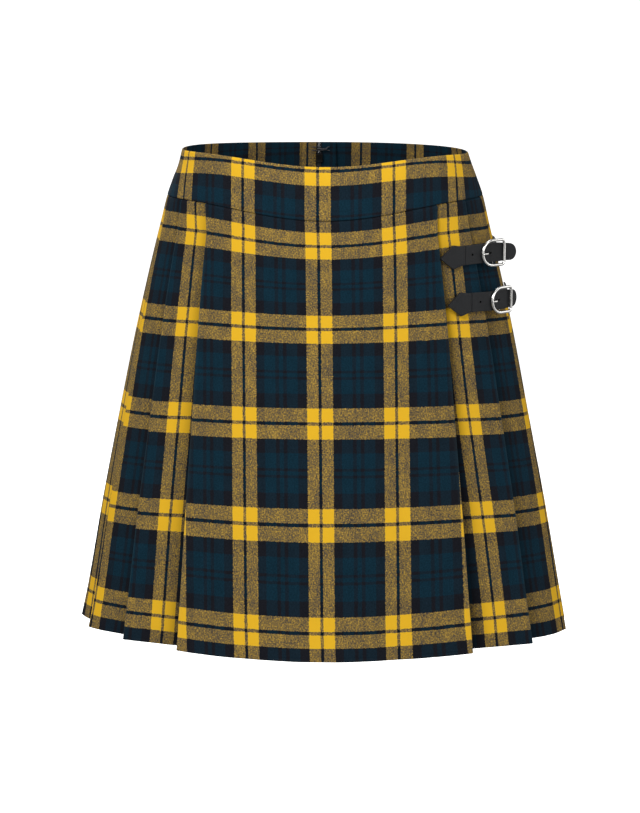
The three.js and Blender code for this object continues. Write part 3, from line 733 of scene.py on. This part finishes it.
def brushed_plaid():
    """Brushed wool and acrylic twill, yarn dyed: matt, with a short nap that takes the gloss
    off. Yellow crosses yellow clean, and yellow crosses dark as a speckled brown."""
    material, shader, add = new_material("brushed_wool_plaid")
    cloth = add("UVMap", uv_map="cloth")
    grain = {}
    for name, (stretch, size, detail) in GRAINS.items():
        long = add("Mapping", named={"Vector": cloth, "Scale": stretch})
        noise = {"Vector": long, "Scale": size / MM, "Detail": detail, "Roughness": 0.7}
        grain[name] = add("TexNoise", noise_dimensions="2D", named=noise)

    # the yarns wander by a third of a millimetre
    noise = {"Vector": cloth, "Scale": 0.7 / MM, "Detail": 1.0}
    wander = add("TexNoise", noise_dimensions="2D", out="Color", named=noise)
    back = (-WANDER / 2, -WANDER / 2, 0)
    centred = add("VectorMath", wander, (WANDER, WANDER, 0), back, **TIMES_PLUS)
    place = add("VectorMath", cloth, centred, **PLUS)
    crossings = []
    for part, table, repeat in ((0, WARP_BANDS, WARP_REPEAT), (1, WEFT_BANDS, WEFT_REPEAT)):
        at = add("Math", add("SeparateXYZ", place, out=part), 1 / (repeat * MM), **TIMES)
        at = add("Math", at, operation="FRACT")
        yellow = [(end, YES if kind is True else NO) for end, kind in table]
        dark = [(end, NAVY if kind is True else kind) for end, kind in table]
        crossings.append([bands(add("ValToRGB", at), spans, repeat) for spans in (yellow, dark)])
    (warp_yellow, warp_dark), (weft_yellow, weft_dark) = crossings
    both = add("Math", warp_yellow, weft_yellow, **TIMES)
    either = add("Math", warp_yellow, weft_yellow, **MOST)

    # specks of a millimetre, as a real float is, longer along one yarn or the other
    along_warp = add("Math", grain["along_warp"], 0.5, **TIMES)
    along_weft = add("Math", grain["along_weft"], 0.5, **TIMES)
    cloudy = add("Math", grain["cloudy"], 0.24, -0.12, **TIMES_PLUS)
    fleck = add("Math", add("Math", along_warp, along_weft, **PLUS), cloudy, **PLUS)
    marl = add("ValToRGB", fleck)
    set_stops(marl.node.color_ramp, [(at, linear(code)) for at, code in MARL])

    dark = add("Mix", **RGB, named={0: 0.5, 6: warp_dark, 7: weft_dark})
    lift = add("Math", fleck, 1.5, 0.25, **TIMES_PLUS)
    dark = add("Mix", **RGB, blend_type="MULTIPLY", named={0: 1.0, 6: dark, 7: lift})
    speckled = add("Mix", **RGB, named={0: 0.1, 6: marl, 7: dark})
    shade = add("Math", fleck, 0.5, -0.1, **TIMES_PLUS)
    sunny = add("Mix", **RGB, named={0: shade, 6: YELLOW, 7: YELLOW_SHADE})
    colour = add("Mix", **RGB, named={0: either, 6: dark, 7: speckled})
    colour = add("Mix", **RGB, named={0: both, 6: colour, 7: sunny})
    # painted shade darkens the cloth deep in a fold, and the edges of folds wear a little paler
    wear_and_fold_shade = add("Attribute", attribute_name="wear_and_fold_shade", out="Fac")
    deep = add("Math", add("Math", wear_and_fold_shade, -0.65, **TIMES), 0.0, **MOST)
    # painted shade: towards near black deep in a fold
    colour = add("Mix", **RGB, named={0: deep, 6: colour, 7: linear("05070A")})
    edge = add("Math", add("Math", wear_and_fold_shade, 0.0, **MOST), 0.5, **TIMES)
    pale = add("Mix", **RGB, blend_type="ADD", named={0: edge, 6: colour, 7: linear("2C4248")})

    slant = add("Math", add("SeparateXYZ", cloth), add("SeparateXYZ", cloth, out=1), **PLUS)
    ribs = add("Math", add("Math", slant, 2 * math.pi / RIBS, **TIMES), operation="SINE")
    height = add("Math", add("Math", ribs, 0.12, **TIMES), grain["fuzz"], **PLUS)
    bump = add("Bump", named={"Strength": 0.5, "Distance": 0.3 * MM, "Height": height})
    set_inputs(shader, {"Base Color": pale, "Normal": bump, "Roughness": 0.95})
    set_inputs(shader, {"Specular IOR Level": 0.04, "Sheen Weight": 0.012, "Sheen Roughness": 0.6})
    return material


def smooth_leather():
    """Black chrome-tanned leather with a printed grain: satin, in slightly patchy tones."""
    material, shader, add = new_material("black_calf_leather")
    place = add("TexCoord", out="Object")
    cell = {"Vector": place, "Scale": 1.5 / MM}
    cells = add("TexVoronoi", feature="DISTANCE_TO_EDGE", out="Distance", named=cell)
    patchy = add("TexNoise", named={"Vector": place, "Scale": 0.22 / MM, "Detail": 4.0})
    tone = add("Mix", **RGB, named={0: patchy, 6: linear("191A1C"), 7: linear("27282A")})
    rough = add("Math", patchy, 0.2, 0.42, **TIMES_PLUS)
    bump = add("Bump", named={"Strength": 0.35, "Distance": 0.12 * MM, "Height": cells})
    set_inputs(shader, {"Base Color": tone, "Roughness": rough, "Normal": bump})
    set_inputs(shader, {"Specular IOR Level": 0.2})
    return material


def plated_steel(name, tones, rough, grain):
    """Plated steel, bright nickel or dark: smooth but for fine polishing marks."""
    material, shader, add = new_material(name)
    place = add("TexCoord", out="Object")
    marks = add("TexNoise", named={"Vector": place, "Scale": grain / MM, "Detail": 5.0})
    tone = add("Mix", **RGB, named={0: marks, 6: linear(tones[0]), 7: linear(tones[1])})
    rough = add("Math", marks, 0.14, rough, **TIMES_PLUS)
    set_inputs(shader, {"Base Color": tone, "Roughness": rough, "Metallic": 1})
    return material


def woven_tape(name, tones, ribs_mm):
    """Polyester or nylon, as tape, coil or thread: close ribs across it and little gloss."""
    material, shader, add = new_material(name)
    place = add("TexCoord", out="Object")
    turns = add("Math", add("SeparateXYZ", place, out=2), 2 * math.pi / (ribs_mm * MM), **TIMES)
    ribs = add("Math", add("Math", turns, operation="SINE"), 0.5, **TIMES)
    weave = add("TexNoise", named={"Vector": place, "Scale": 1.2 / MM, "Detail": 2.0})
    tone = add("Mix", **RGB, named={0: weave, 6: linear(tones[0]), 7: linear(tones[1])})
    height = add("Math", ribs, weave, **PLUS)
    bump = add("Bump", named={"Strength": 0.5, "Distance": 0.2 * MM, "Height": height})
    set_inputs(shader, {"Base Color": tone, "Normal": bump, "Roughness": 0.8})
    return material


PLAID = brushed_plaid()
LEATHER = smooth_leather()
STEEL = plated_steel("bright_nickel_steel", ("D8D6D2", "F1F0EE"), 0.1, 0.9)
ZIP_METAL = plated_steel("dark_zip_metal", ("3E3F42", "636468"), 0.28, 1.4)
TAPE = woven_tape("dark_polyester_tape", ("14171B", "2B3036"), 0.9)
COIL = woven_tape("grey_nylon_coil", ("24272B", "3A3E44"), 0.75)
THREAD = woven_tape("black_sewing_thread", ("121214", "2A2B30"), 0.35)


def dress(piece, material, node=None):
    """Gives a piece its finish and its body, and hides the CAD node it stands for."""
    piece.data.materials.clear()
    piece.data.materials.append(material)
    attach(piece, "zip_pull" if node == "zip_pull" else "skirt")
    if node:
        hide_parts(node)
    return piece


cloth = make_cloth()
for node, piece in cloth.items():
    dress(piece, PLAID, node)
for side, piece in zip_facings().items():
    dress(piece, PLAID)

# Straps, buckles, zip and fasteners

STRAP = {"wide": 16.8, "thick": 2.2, "arrow": 12.4, "corner": 10.3, "tail": 8}
SHOULDER = 12  # mm in which the arrow's corners run out
SLIM = {"share": 0.9, "from": 22, "over": 14}  # the free end, mm before the strap's end
PRESS = {"half": 0.95, "deep": 0.75}  # the pressed line behind the arrow
SPARE_HOLE = {"at": 35.1, "radius": 1.1}  # from the arrow's tip
SLOT = {"back": 3.3, "radius": 1.2, "long": 2.6}  # the pin's slot, back from the frame's middle
FRAME_SIZE = (26.5, 24.6)
WIRE = 1.3  # radius of the buckle frame's wire
BAR = 0.8  # radius of the bar
BAR_AT = 3.5  # right of the frame's middle
PRONG = 0.8  # radius of the pin's wire
RING_HIGH = FRAME_SIZE[1] / 2 - WIRE  # from the frame's middle to its wire's middle, top and left
RING_LEFT = -FRAME_SIZE[0] / 2 + WIRE
RING_RIGHT = FRAME_SIZE[0] / 2 - WIRE
RING_CENTRE = RING_LEFT + RING_HIGH
RING_CORNER = 3
SHIFT = WIRE + SEAM + STRAP["thick"] / 2
LOOP_THICK = 1.2
BAR_DROP = STRAP["thick"] / 2 + 2 * SEAM + LOOP_THICK + BAR
STRAPS = {
    "upper": {
        "tip": (40.8, -86),
        "line": (52.3, -85.2),
        "frame": (146.2, -48.8, -85.3),
        "turn": 36,
        "end": (168, -34.5, -86.2),
    },
    "lower": {
        "tip": (40.8, -126.5),
        "line": (51.2, -126),
        "frame": (153.3, -52.3, -126.6),
        "turn": 44,
        "end": (168.5, -33, -127.2),
    },
}


def only(piece):
    """Makes a piece the one that is selected and active."""
    bpy.ops.object.select_all(action="DESELECT")
    piece.select_set(True)
    bpy.context.view_layer.objects.active = piece


def empty_piece(name):
    piece = add_piece(name, bpy.data.meshes.new(name))
    only(piece)
    return piece


@contextlib.contextmanager
def editing():
    bpy.ops.object.mode_set(mode="EDIT")
    yield
    bpy.ops.object.mode_set(mode="OBJECT")


def apply_modifier(piece, kind, **settings):
    only(piece)
    modifier = piece.modifiers.new(kind.lower(), kind)
    for key, value in settings.items():
        setattr(modifier, key, value)
    bpy.ops.object.modifier_apply(modifier=modifier.name)


def smooth_edges(piece, degrees=40):
    only(piece)
    bpy.ops.object.shade_smooth_by_angle(angle=degrees * DEGREE)


def centripetal(four, share):
    """A point between the middle two of four, on the smooth curve through all of them."""
    knots = [0]
    for a, b in zip(four, four[1:]):
        knots.append(knots[-1] + (b - a).length ** 0.5)
    at = lerp(knots[1], knots[2], share)

    def between(a, b, start, end):
        return a + (b - a) * ((at - start) / (end - start))

    first = [between(four[i], four[i + 1], knots[i], knots[i + 1]) for i in range(3)]
    second = [between(first[i], first[i + 1], knots[i], knots[i + 2]) for i in range(2)]
    return between(second[0], second[1], knots[1], knots[2])


LINE_STEPS = 24  # between two points of a smooth line


def smooth_line(points, steps=LINE_STEPS):
    points = [Vector(p) for p in points]
    ends = [2 * points[0] - points[1], *points, 2 * points[-1] - points[-2]]
    line = []
    for i in range(1, len(ends) - 2):
        line += [centripetal(ends[i - 1 : i + 3], step / steps) for step in range(steps)]
    return line + [points[-1]]


def shell_at(degrees, height, out):
    """The outside at an angle and a height, found by halving."""
    low, high = 0.0, float(HEM_ROW)
    for _ in range(30):
        middle = (low + high) / 2
        if shell(degrees * DEGREE, middle, 0)[2] > height:
            low = middle
        else:
            high = middle
    return Vector(shell(degrees * DEGREE, low, out))


class StrapRun:
    """Where a strap runs: from its arrow on the cloth, through the frame, to its free end."""

    def __init__(self, strap):
        heading = Vector((math.cos(strap["turn"] * DEGREE), math.sin(strap["turn"] * DEGREE), 0))
        centre = Vector(strap["frame"])
        reach = FRAME_SIZE[0] / 2
        out = SEAM + STRAP["thick"] / 2 + 0.2
        middle = [lerp(a, b, 0.5) for a, b in zip(strap["tip"], strap["line"])]
        on_cloth = [shell_at(*spot, out) for spot in (strap["tip"], middle, strap["line"])]
        free = [centre - heading * reach * 0.8, centre, centre + heading * reach * 0.7]
        line = smooth_line([*on_cloth, *free, strap["end"]])
        steps = [(b - a).length for a, b in zip(line, line[1:])]
        self.points = np.array(line)
        self.run = np.concatenate([[0], np.cumsum(steps)])
        self.length = float(self.run[-1])
        self.line = float(self.run[2 * LINE_STEPS])
        self.frame = float(self.run[4 * LINE_STEPS])
        self.out = Vector((heading.y, -heading.x, 0))
        self.matrix = Matrix((heading, self.out, (0, 0, 1))).transposed().to_4x4()
        self.matrix.translation = centre

    def at(self, along, up, out):
        """A place on the strap, from its flat place along it, across it and above its middle."""
        behind, middle, ahead = (
            on_line(along + step, self.run, self.points) for step in (-0.6, 0, 0.6)
        )
        across = ahead - behind
        away = Vector((across[1], -across[0], 0)).normalized()
        return Vector(middle) + away * out + Vector((0, 0, up))


def strap_half(along, length):
    """Half the strap's width at a distance from its arrow's tip."""
    half = STRAP["wide"] / 2
    if along < STRAP["arrow"]:
        return lerp(0.5, STRAP["corner"], along / STRAP["arrow"])
    if along > length - STRAP["tail"]:
        share = (along - length + STRAP["tail"]) / STRAP["tail"]
        return SLIM["share"] * half * math.sqrt(max(1 - share**2.4, 0.02))
    slim = lerp(1, SLIM["share"], smooth((along - length + SLIM["from"]) / SLIM["over"]))
    return lerp(STRAP["corner"], half, smooth((along - STRAP["arrow"]) / SHOULDER)) * slim


def punch(piece, along, radius, length=0.0):
    """Cuts a round hole, or a slot with round ends, through the flat leather."""
    cutter = empty_piece("punch")
    with editing():
        bpy.ops.mesh.primitive_cylinder_add(
            vertices=24, radius=radius, depth=8, location=(along, 0, 0)
        )
    for corner in cutter.data.vertices:
        corner.co.x += math.copysign(length / 2, corner.co.x - along)
    apply_modifier(piece, "BOOLEAN", object=cutter, operation="DIFFERENCE", solver="EXACT")
    bpy.data.objects.remove(cutter)


def make_strap(name, run):
    """Leather blank, cut to outline, thickened, rounded, creased and punched while it is flat."""
    piece = empty_piece(name)
    with editing():
        bpy.ops.mesh.primitive_grid_add(x_subdivisions=100, y_subdivisions=14, size=2)
    arrow_share = 0.16
    for corner in piece.data.vertices:
        share = (corner.co.x + 1) / 2
        along = float(np.interp(share, [0, arrow_share, 1], [0, STRAP["arrow"], run.length]))
        corner.co = (along, corner.co.y * strap_half(along, run.length), 0)
    with editing():
        for aside in (-PRESS["half"], 0, PRESS["half"]):
            bpy.ops.mesh.select_all(action="SELECT")
            bpy.ops.mesh.bisect(plane_co=(run.line + aside, 0, 0), plane_no=(1, 0, 0))
    apply_modifier(piece, "SOLIDIFY", thickness=STRAP["thick"], offset=0)
    apply_modifier(
        piece, "BEVEL", width=0.5, segments=3, limit_method="ANGLE", angle_limit=50 * DEGREE
    )
    for corner in piece.data.vertices:
        off_line = abs(corner.co.x - run.line)
        if corner.co.z > 0.5 and off_line < PRESS["half"]:
            corner.co.z -= PRESS["deep"] * (1 - off_line / PRESS["half"])
    punch(piece, SPARE_HOLE["at"], SPARE_HOLE["radius"])
    punch(piece, run.frame - SLOT["back"], SLOT["radius"], SLOT["long"])
    for corner in piece.data.vertices:
        corner.co = run.at(*corner.co) * MM
    face_out(piece)
    smooth_edges(piece)
    return piece


def shape_of(piece):
    """The corners and faces of a small piece, which is taken away."""
    corners = np.array([corner.co for corner in piece.data.vertices])
    faces = [tuple(face.vertices) for face in piece.data.polygons]
    bpy.data.objects.remove(piece)
    return corners, faces


def copies(name, shape, places):
    """One piece with a copy of the shape at each place: its middle, axes and size."""
    points, faces = [], []
    for i, (middle, axes, size) in enumerate(places):
        points.append(middle + shape[0] * size @ np.array(axes))
        faces += [tuple(i * len(shape[0]) + v for v in face) for face in shape[1]]
    return solid_piece(name, np.concatenate(points) * MM, faces)


def bead():
    """One stitch of thread, as long as its scale says."""
    piece = empty_piece("bead")
    with editing():
        bpy.ops.mesh.primitive_uv_sphere_add(segments=8, ring_count=6, radius=0.5)
    return shape_of(piece)


BEAD = bead()
STRAP_SEWING = {"long": 1.5, "gap": 0.8, "thick": 0.5}
ZIP_SEWING = {"long": 2.4, "gap": 0.9, "thick": 0.45}


def sewn(name, lines, long, gap, thick):
    """Stitches along lines, each of which is a list of points with the way out of the cloth."""
    places = []
    for line in lines:
        points = np.array([p for p, _ in line])
        aways = np.array([a for _, a in line])
        run = distances(points)
        for start in np.arange(0.3, run[-1] - long, long + gap):
            ends = [on_line(at, run, points) for at in (start, start + long)]
            away = on_line(start + long / 2, run, aways)
            along = ends[1] - ends[0]
            length = np.linalg.norm(along)
            along = along / max(length, 1e-9)
            across = np.cross(away, along)
            across = across / np.linalg.norm(across)
            away = np.cross(along, across)
            size = (length, thick, thick * 0.8)
            places.append(((ends[0] + ends[1]) / 2, (along, across, away), size))
    return copies(name, BEAD, places)


def strap_stitches(name, run):
    """Stitches run in from the edges of the arrow and round the free end."""
    inset = 1.9

    def line(alongs, side):
        spots = []
        for along in alongs:
            up = side * (strap_half(along, run.length) - inset)
            base = run.at(along, up, STRAP["thick"] / 2 + 0.05)
            away = run.at(along, up, STRAP["thick"] / 2 + 1.05) - base
            spots.append((tuple(base), tuple(away)))
        return spots

    arrow = np.linspace(3.4, run.line - 1.5, 60)
    tail = np.linspace(run.frame + 15, run.length - 1.6, 40)
    lines = [line(part, side) for part in (arrow, tail) for side in (-1, 1)]
    return sewn(name, lines, **STRAP_SEWING)


def spin_wire(centre, degrees, steps):
    bpy.ops.mesh.spin(steps=steps, angle=degrees * DEGREE, center=centre, axis=(0, 1, 0))


def pull(vector):
    bpy.ops.mesh.extrude_region_move(TRANSFORM_OT_translate={"value": vector})


def ring_wire(name):
    """The buckle's frame: a half round on its left, a straight side with corners on its right."""
    right, high = RING_RIGHT - RING_CORNER, RING_HIGH - RING_CORNER
    start = (RING_CENTRE, SHIFT, RING_HIGH)
    piece = empty_piece(name)
    with editing():
        bpy.ops.mesh.primitive_circle_add(
            vertices=16, radius=WIRE, location=start, rotation=(0, 90 * DEGREE, 0)
        )
        spin_wire((RING_CENTRE, SHIFT, 0), 180, 32)
        pull((right - RING_CENTRE, 0, 0))
        spin_wire((right, SHIFT, -high), 90, 8)
        pull((0, 0, 2 * high))
        spin_wire((right, SHIFT, high), 90, 8)
        bpy.ops.mesh.select_all(action="DESELECT")
        bpy.ops.mesh.select_non_manifold()
        bpy.ops.mesh.bridge_edge_loops()
    return piece


def bent_wire(name, points, radius, steps=6):
    """Round wire along a smooth line, with round ends."""
    line = smooth_line(points, steps)
    curve = bpy.data.curves.new(name, "CURVE")
    curve.dimensions = "3D"
    curve.bevel_depth = radius
    curve.bevel_resolution = 4
    curve.use_fill_caps = True
    spline = curve.splines.new("POLY")
    spline.points.add(len(line) - 1)
    last = len(line) - 1
    for i, point in enumerate(line):
        spline.points[i].co = (*point, 1)
        spline.points[i].radius = 0.6 if i in (0, last) else 1
    piece = add_piece(name, curve)
    only(piece)
    bpy.ops.object.convert(target="MESH")
    return piece


def place(piece, matrix):
    """Puts a piece's place in its mesh, in metres, and leaves its object at the origin."""
    piece.data.transform(Matrix.Scale(MM, 4) @ matrix)
    face_out(piece)
    smooth_edges(piece)
    return piece


BAR_BEND = 1
PIN_TURNS = (200, 250, 300, 350, 40, 80)  # degrees round the bar
PIN_RISE = [(1.2, -2.35), (-0.9, -2.2), (-5.4, 2.6)]  # across and out, through the strap's slot


def make_buckle(name, run):
    """The ring with its bar, which goes down behind the strap at both ends."""
    half = [
        (SHIFT, RING_HIGH),
        (0, RING_HIGH),
        (BAR_BEND - BAR_DROP, RING_HIGH),
        (-BAR_DROP, RING_HIGH - BAR_BEND),
    ]
    whole = [*half, (-BAR_DROP, 0), *((out, -up) for out, up in half[::-1])]
    ring = ring_wire(name)
    bar = bent_wire("bar", [(BAR_AT, out, up) for out, up in whole], BAR)
    face_out(ring)
    face_out(bar)
    apply_modifier(ring, "BOOLEAN", object=bar, operation="UNION", solver="EXACT")
    bpy.data.objects.remove(bar)
    return place(ring, run.matrix)


def make_pin(name, run):
    hold = BAR + SEAM + PRONG
    over = SHIFT + WIRE + SEAM + PRONG
    wound = [
        (BAR_AT + hold * math.cos(turn * DEGREE), -BAR_DROP + hold * math.sin(turn * DEGREE))
        for turn in PIN_TURNS
    ]
    rest = [(-8.6, over - 0.2), (RING_LEFT, over), (RING_LEFT - 1.6, over - 0.5)]
    line = [(x, y, 0) for x, y in [*wound, *PIN_RISE, *rest]]
    return place(bent_wire(name, line, PRONG), run.matrix)


def softened(name, node, width):
    """A CAD piece with its sharp edges broken, as tumbled metal and cut leather have them."""
    piece = add_piece(name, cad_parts[node].data.copy())
    only(piece)
    bpy.ops.mesh.customdata_custom_splitnormals_clear()
    with editing():
        bpy.ops.mesh.select_all(action="SELECT")
        bpy.ops.mesh.remove_doubles(threshold=0.001 * MM)
        bpy.ops.mesh.dissolve_limited(angle_limit=2 * DEGREE)
    apply_modifier(
        piece, "BEVEL", width=width * MM, segments=3, limit_method="ANGLE", angle_limit=40 * DEGREE
    )
    smooth_edges(piece, 30)
    return piece


TAPE_ROWS = [0.2, 1, 2.3, 2.85, 3.4, 4, 5, 5.5]
COIL_TURN = {"size": (2.2, 1.1, 0.77), "pitch": 0.75, "aside": 0.65}
ZIP_SEWN = 7  # mm from the centre back to the zip's stitches


def tape_sink(row):
    """How far the middle of the zip's tape lies behind the outside."""

    def behind(at):
        if at < 2.5:
            return -(WALL + SEAM + TAPE_THICK / 2)
        return -(float(pleat_depth(at)) + WALL + 1.5 * SEAM + TAPE_THICK / 2)

    return float(np.interp(row, TAPE_ROWS, [behind(at) for at in TAPE_ROWS]))


def zip_coil():
    """Two rows of nylon turns that lock, on the inner side of the tapes."""
    piece = empty_piece("turn")
    with editing():
        bpy.ops.mesh.primitive_cube_add(size=1, scale=COIL_TURN["size"])
    apply_modifier(piece, "BEVEL", width=0.2, segments=2)
    places = []
    for i, row in enumerate(drop_rows(0.03, 5.45, COIL_TURN["pitch"])):
        sink = tape_sink(row) - TAPE_THICK / 2 - 0.5
        middle = shell(CENTRE_BACK, row, sink)
        away = shell(CENTRE_BACK, row, sink + 1) - middle
        below = shell(CENTRE_BACK, min(row + 0.05, HEM_ROW), sink) - middle
        below = below / np.linalg.norm(below)
        across = np.cross(below, away)
        aside = COIL_TURN["aside"] if i % 2 else -COIL_TURN["aside"]
        places.append((middle + across * aside, (across, away, below), 1))
    return copies("zip_coil", shape_of(piece), places)


def zip_stitches():
    """The zip is sewn in from the outside, down both sides."""
    rows = drop_rows(0.12, 5.6, 3)
    lines = []
    for side in (-1, 1):
        line = []
        for row in rows:
            angle = CENTRE_BACK + side * ZIP_SEWN / body_radius(row)
            sink = 0 if row < SEAM_ROW - 0.05 else zip_face_sink(side, row)
            base = shell(angle, row, sink + 0.05)
            line.append((base, shell(angle, row, sink + 1.05) - base))
        lines.append(line)
    return sewn("zip_stitches", lines, **ZIP_SEWING)


def zip_face_sink(side, row):
    """How deep the last pleat's face lies under the zip's stitches."""
    start, end = face_span("left" if side > 0 else "right", LAST_PLEAT, row)
    return float(face_sink(1 - ZIP_SEWN / body_radius(row) / (end - start), row))


SLIDER_DROP = 16  # from the origin down to the slider's middle
HOOK_IN = WALL + TAPE_THICK + 3 * SEAM + 0.6
HOOK_DROP = 7.4
HOOK_LIFT = SLIDER_DROP - HOOK_DROP
HOOK_WIRE = 0.45


def zip_matrix():
    """The slider's place: down the zip, with its face square to the cloth."""
    high, low = (Vector(shell(CENTRE_BACK, row, 0)) for row in (1, 2))
    down = low - high
    down = Vector((0, down.y, down.z)).normalized()
    out = Vector((0, -down.z, down.y))
    matrix = Matrix(((1, 0, 0), out, -down)).transposed().to_4x4()
    matrix.translation = high + down * ((SLIDER_DROP + high.z) / -down.z)
    return matrix


def fastener(name, spots):
    points = [(x, -HOOK_IN - ahead, HOOK_LIFT + up) for x, up, ahead in spots]
    return place(bent_wire(name, points, HOOK_WIRE), zip_matrix())


HOOK_SPOTS = [
    (9.4, 1.6, 0), (7.8, 1.6, 0), (6.2, 0.6, 1.3), (-1.6, 0.6, 1.3),
    (-1.6, -0.6, 1.3), (6.2, -0.6, 1.3), (7.8, -1.6, 0), (9.4, -1.6, 0),
]
EYE_SPOTS = [
    (-6.4, 1.7, 0), (-4.6, 1.7, 0), (-0.4, 1.2, 0),
    (-0.4, -1.2, 0), (-4.6, -1.7, 0), (-6.4, -1.7, 0),
]


def make_hardware():
    for name, strap in STRAPS.items():
        run = StrapRun(strap)
        dress(make_strap("leather_strap_" + name, run), LEATHER, "strap_" + name)
        dress(strap_stitches("strap_stitches_" + name, run), THREAD)
        dress(make_buckle("buckle_frame_" + name, run), STEEL, "buckle_" + name)
        dress(make_pin("buckle_pin_" + name, run), STEEL, "pin_" + name)
        anchor = softened("leather_loop_" + name, "anchor_" + name, 0.25)
        dress(anchor, LEATHER, "anchor_" + name)
    dress(zip_coil(), COIL)
    dress(zip_stitches(), THREAD)
    dress(softened("slider", "zip_slider", 0.3), ZIP_METAL, "zip_slider")
    dress(softened("pull_tab", "zip_pull", 0.25), ZIP_METAL, "zip_pull")
    dress(fastener("hook", HOOK_SPOTS), ZIP_METAL, "waist_hook")
    dress(fastener("hook_bar", EYE_SPOTS), ZIP_METAL, "waist_eye")


make_hardware()

for name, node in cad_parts.items():
    if name.startswith("zip_tape"):
        for slot in node.material_slots:
            slot.material = TAPE


# Name, place, size in metres and power in watts
LIGHTS = [
    ("key", (-1.3, -2.5, 1.8), 1.6, 73),
    ("fill", (2.3, -2.2, 0.6), 1.8, 27),
    ("top", (0, 0.4, 2.4), 1.6, 20),
    ("back", (-0.9, 3.0, 1.2), 1.8, 60),
]
LIT_AT = Vector((0, 0, -0.2))
COVE = {"floor": -0.95, "radius": 6, "curve": 1.5, "high": 6, "turns": 64}
CARDS = {"out": 3.4, "heights": (-0.6, 2.6), "spans": [(-85, -40), (28, 50), (72, 118)]}


def look_at(piece, target):
    piece.rotation_euler = (target - piece.location).to_track_quat("-Z", "Y").to_euler()


def soft_light(name, at, size, power):
    lamp = bpy.data.lights.new(name, "AREA")
    lamp.shape = "DISK"
    lamp.size = size
    lamp.energy = power
    holder = add_piece(name, lamp)
    holder.location = at
    look_at(holder, LIT_AT)


def studio_cove():
    """A pale floor far below the hem that curves up into a wall all round."""
    flat, curve, turns = COVE["radius"] - COVE["curve"], COVE["curve"], COVE["turns"]
    bend = np.linspace(0, math.pi / 2, 14)
    section = [(flat + curve * math.sin(a), curve * (1 - math.cos(a))) for a in bend]
    points = [(0, 0, COVE["floor"])]
    for out, up in [*section, (COVE["radius"], COVE["high"])]:
        for turn in 2 * math.pi * np.arange(turns) / turns:
            points.append((out * math.cos(turn), out * math.sin(turn), up + COVE["floor"]))
    faces = [(0, 1 + i, 1 + (i + 1) % turns) for i in range(turns)]
    for low in range(1, len(points) - turns, turns):
        for i in range(turns):
            j = (i + 1) % turns
            faces.append((low + i, low + turns + i, low + turns + j, low + j))
    return mesh_piece("studio_cove", points, faces)


def studio_cards():
    """Tall white cards round the skirt, which only show as reflections in gloss and metal."""
    points = []
    for turn in (turn * DEGREE for span in CARDS["spans"] for turn in span):
        across = (CARDS["out"] * math.sin(turn), -CARDS["out"] * math.cos(turn))
        points += [(*across, height) for height in CARDS["heights"]]
    faces = [(i, i + 1, i + 3, i + 2) for i in range(0, len(points), 4)]
    return mesh_piece("studio_panels", points, faces)


def studio():
    """The cove and cards, with broad soft lights in front, beside, above and behind."""
    paint, shader, _ = new_material("pale_studio_paint")
    set_inputs(shader, {"Base Color": linear("F4F3F1"), "Roughness": 0.9})
    # the paint glows a little, and neither piece throws soft light on the skirt
    set_inputs(shader, {"Emission Color": linear("FFFFFF"), "Emission Strength": 0.85})
    cove, cards = studio_cove(), studio_cards()
    for piece in (cove, cards):
        piece.data.materials.append(paint)
        piece.visible_diffuse = False
    cove.visible_glossy = False
    cards.visible_camera = False
    cards.visible_shadow = False
    for light in LIGHTS:
        soft_light(*light)
    world = bpy.data.worlds.new("soft_room")
    world.use_nodes = True
    room = {"Color": linear("FFFFFF"), "Strength": 0.3}
    set_inputs(world.node_tree.nodes["Background"], room)
    bpy.context.scene.world = world


CAMERA = {"lens": 150.17, "at": (-0.0045, -3.0, 0.330), "to": (-0.0045, 0, -0.232)}


def photograph_camera():
    """The photograph's view: a long lens from a little above the waist."""
    lens = bpy.data.cameras.new("camera")
    lens.lens = CAMERA["lens"]
    lens.sensor_width = 36
    lens.clip_end = 50
    camera = add_piece("camera", lens)
    camera.location = CAMERA["at"]
    look_at(camera, Vector(CAMERA["to"]))
    bpy.context.scene.camera = camera


studio()
photograph_camera()
bpy.context.scene.view_settings.view_transform = "Standard"
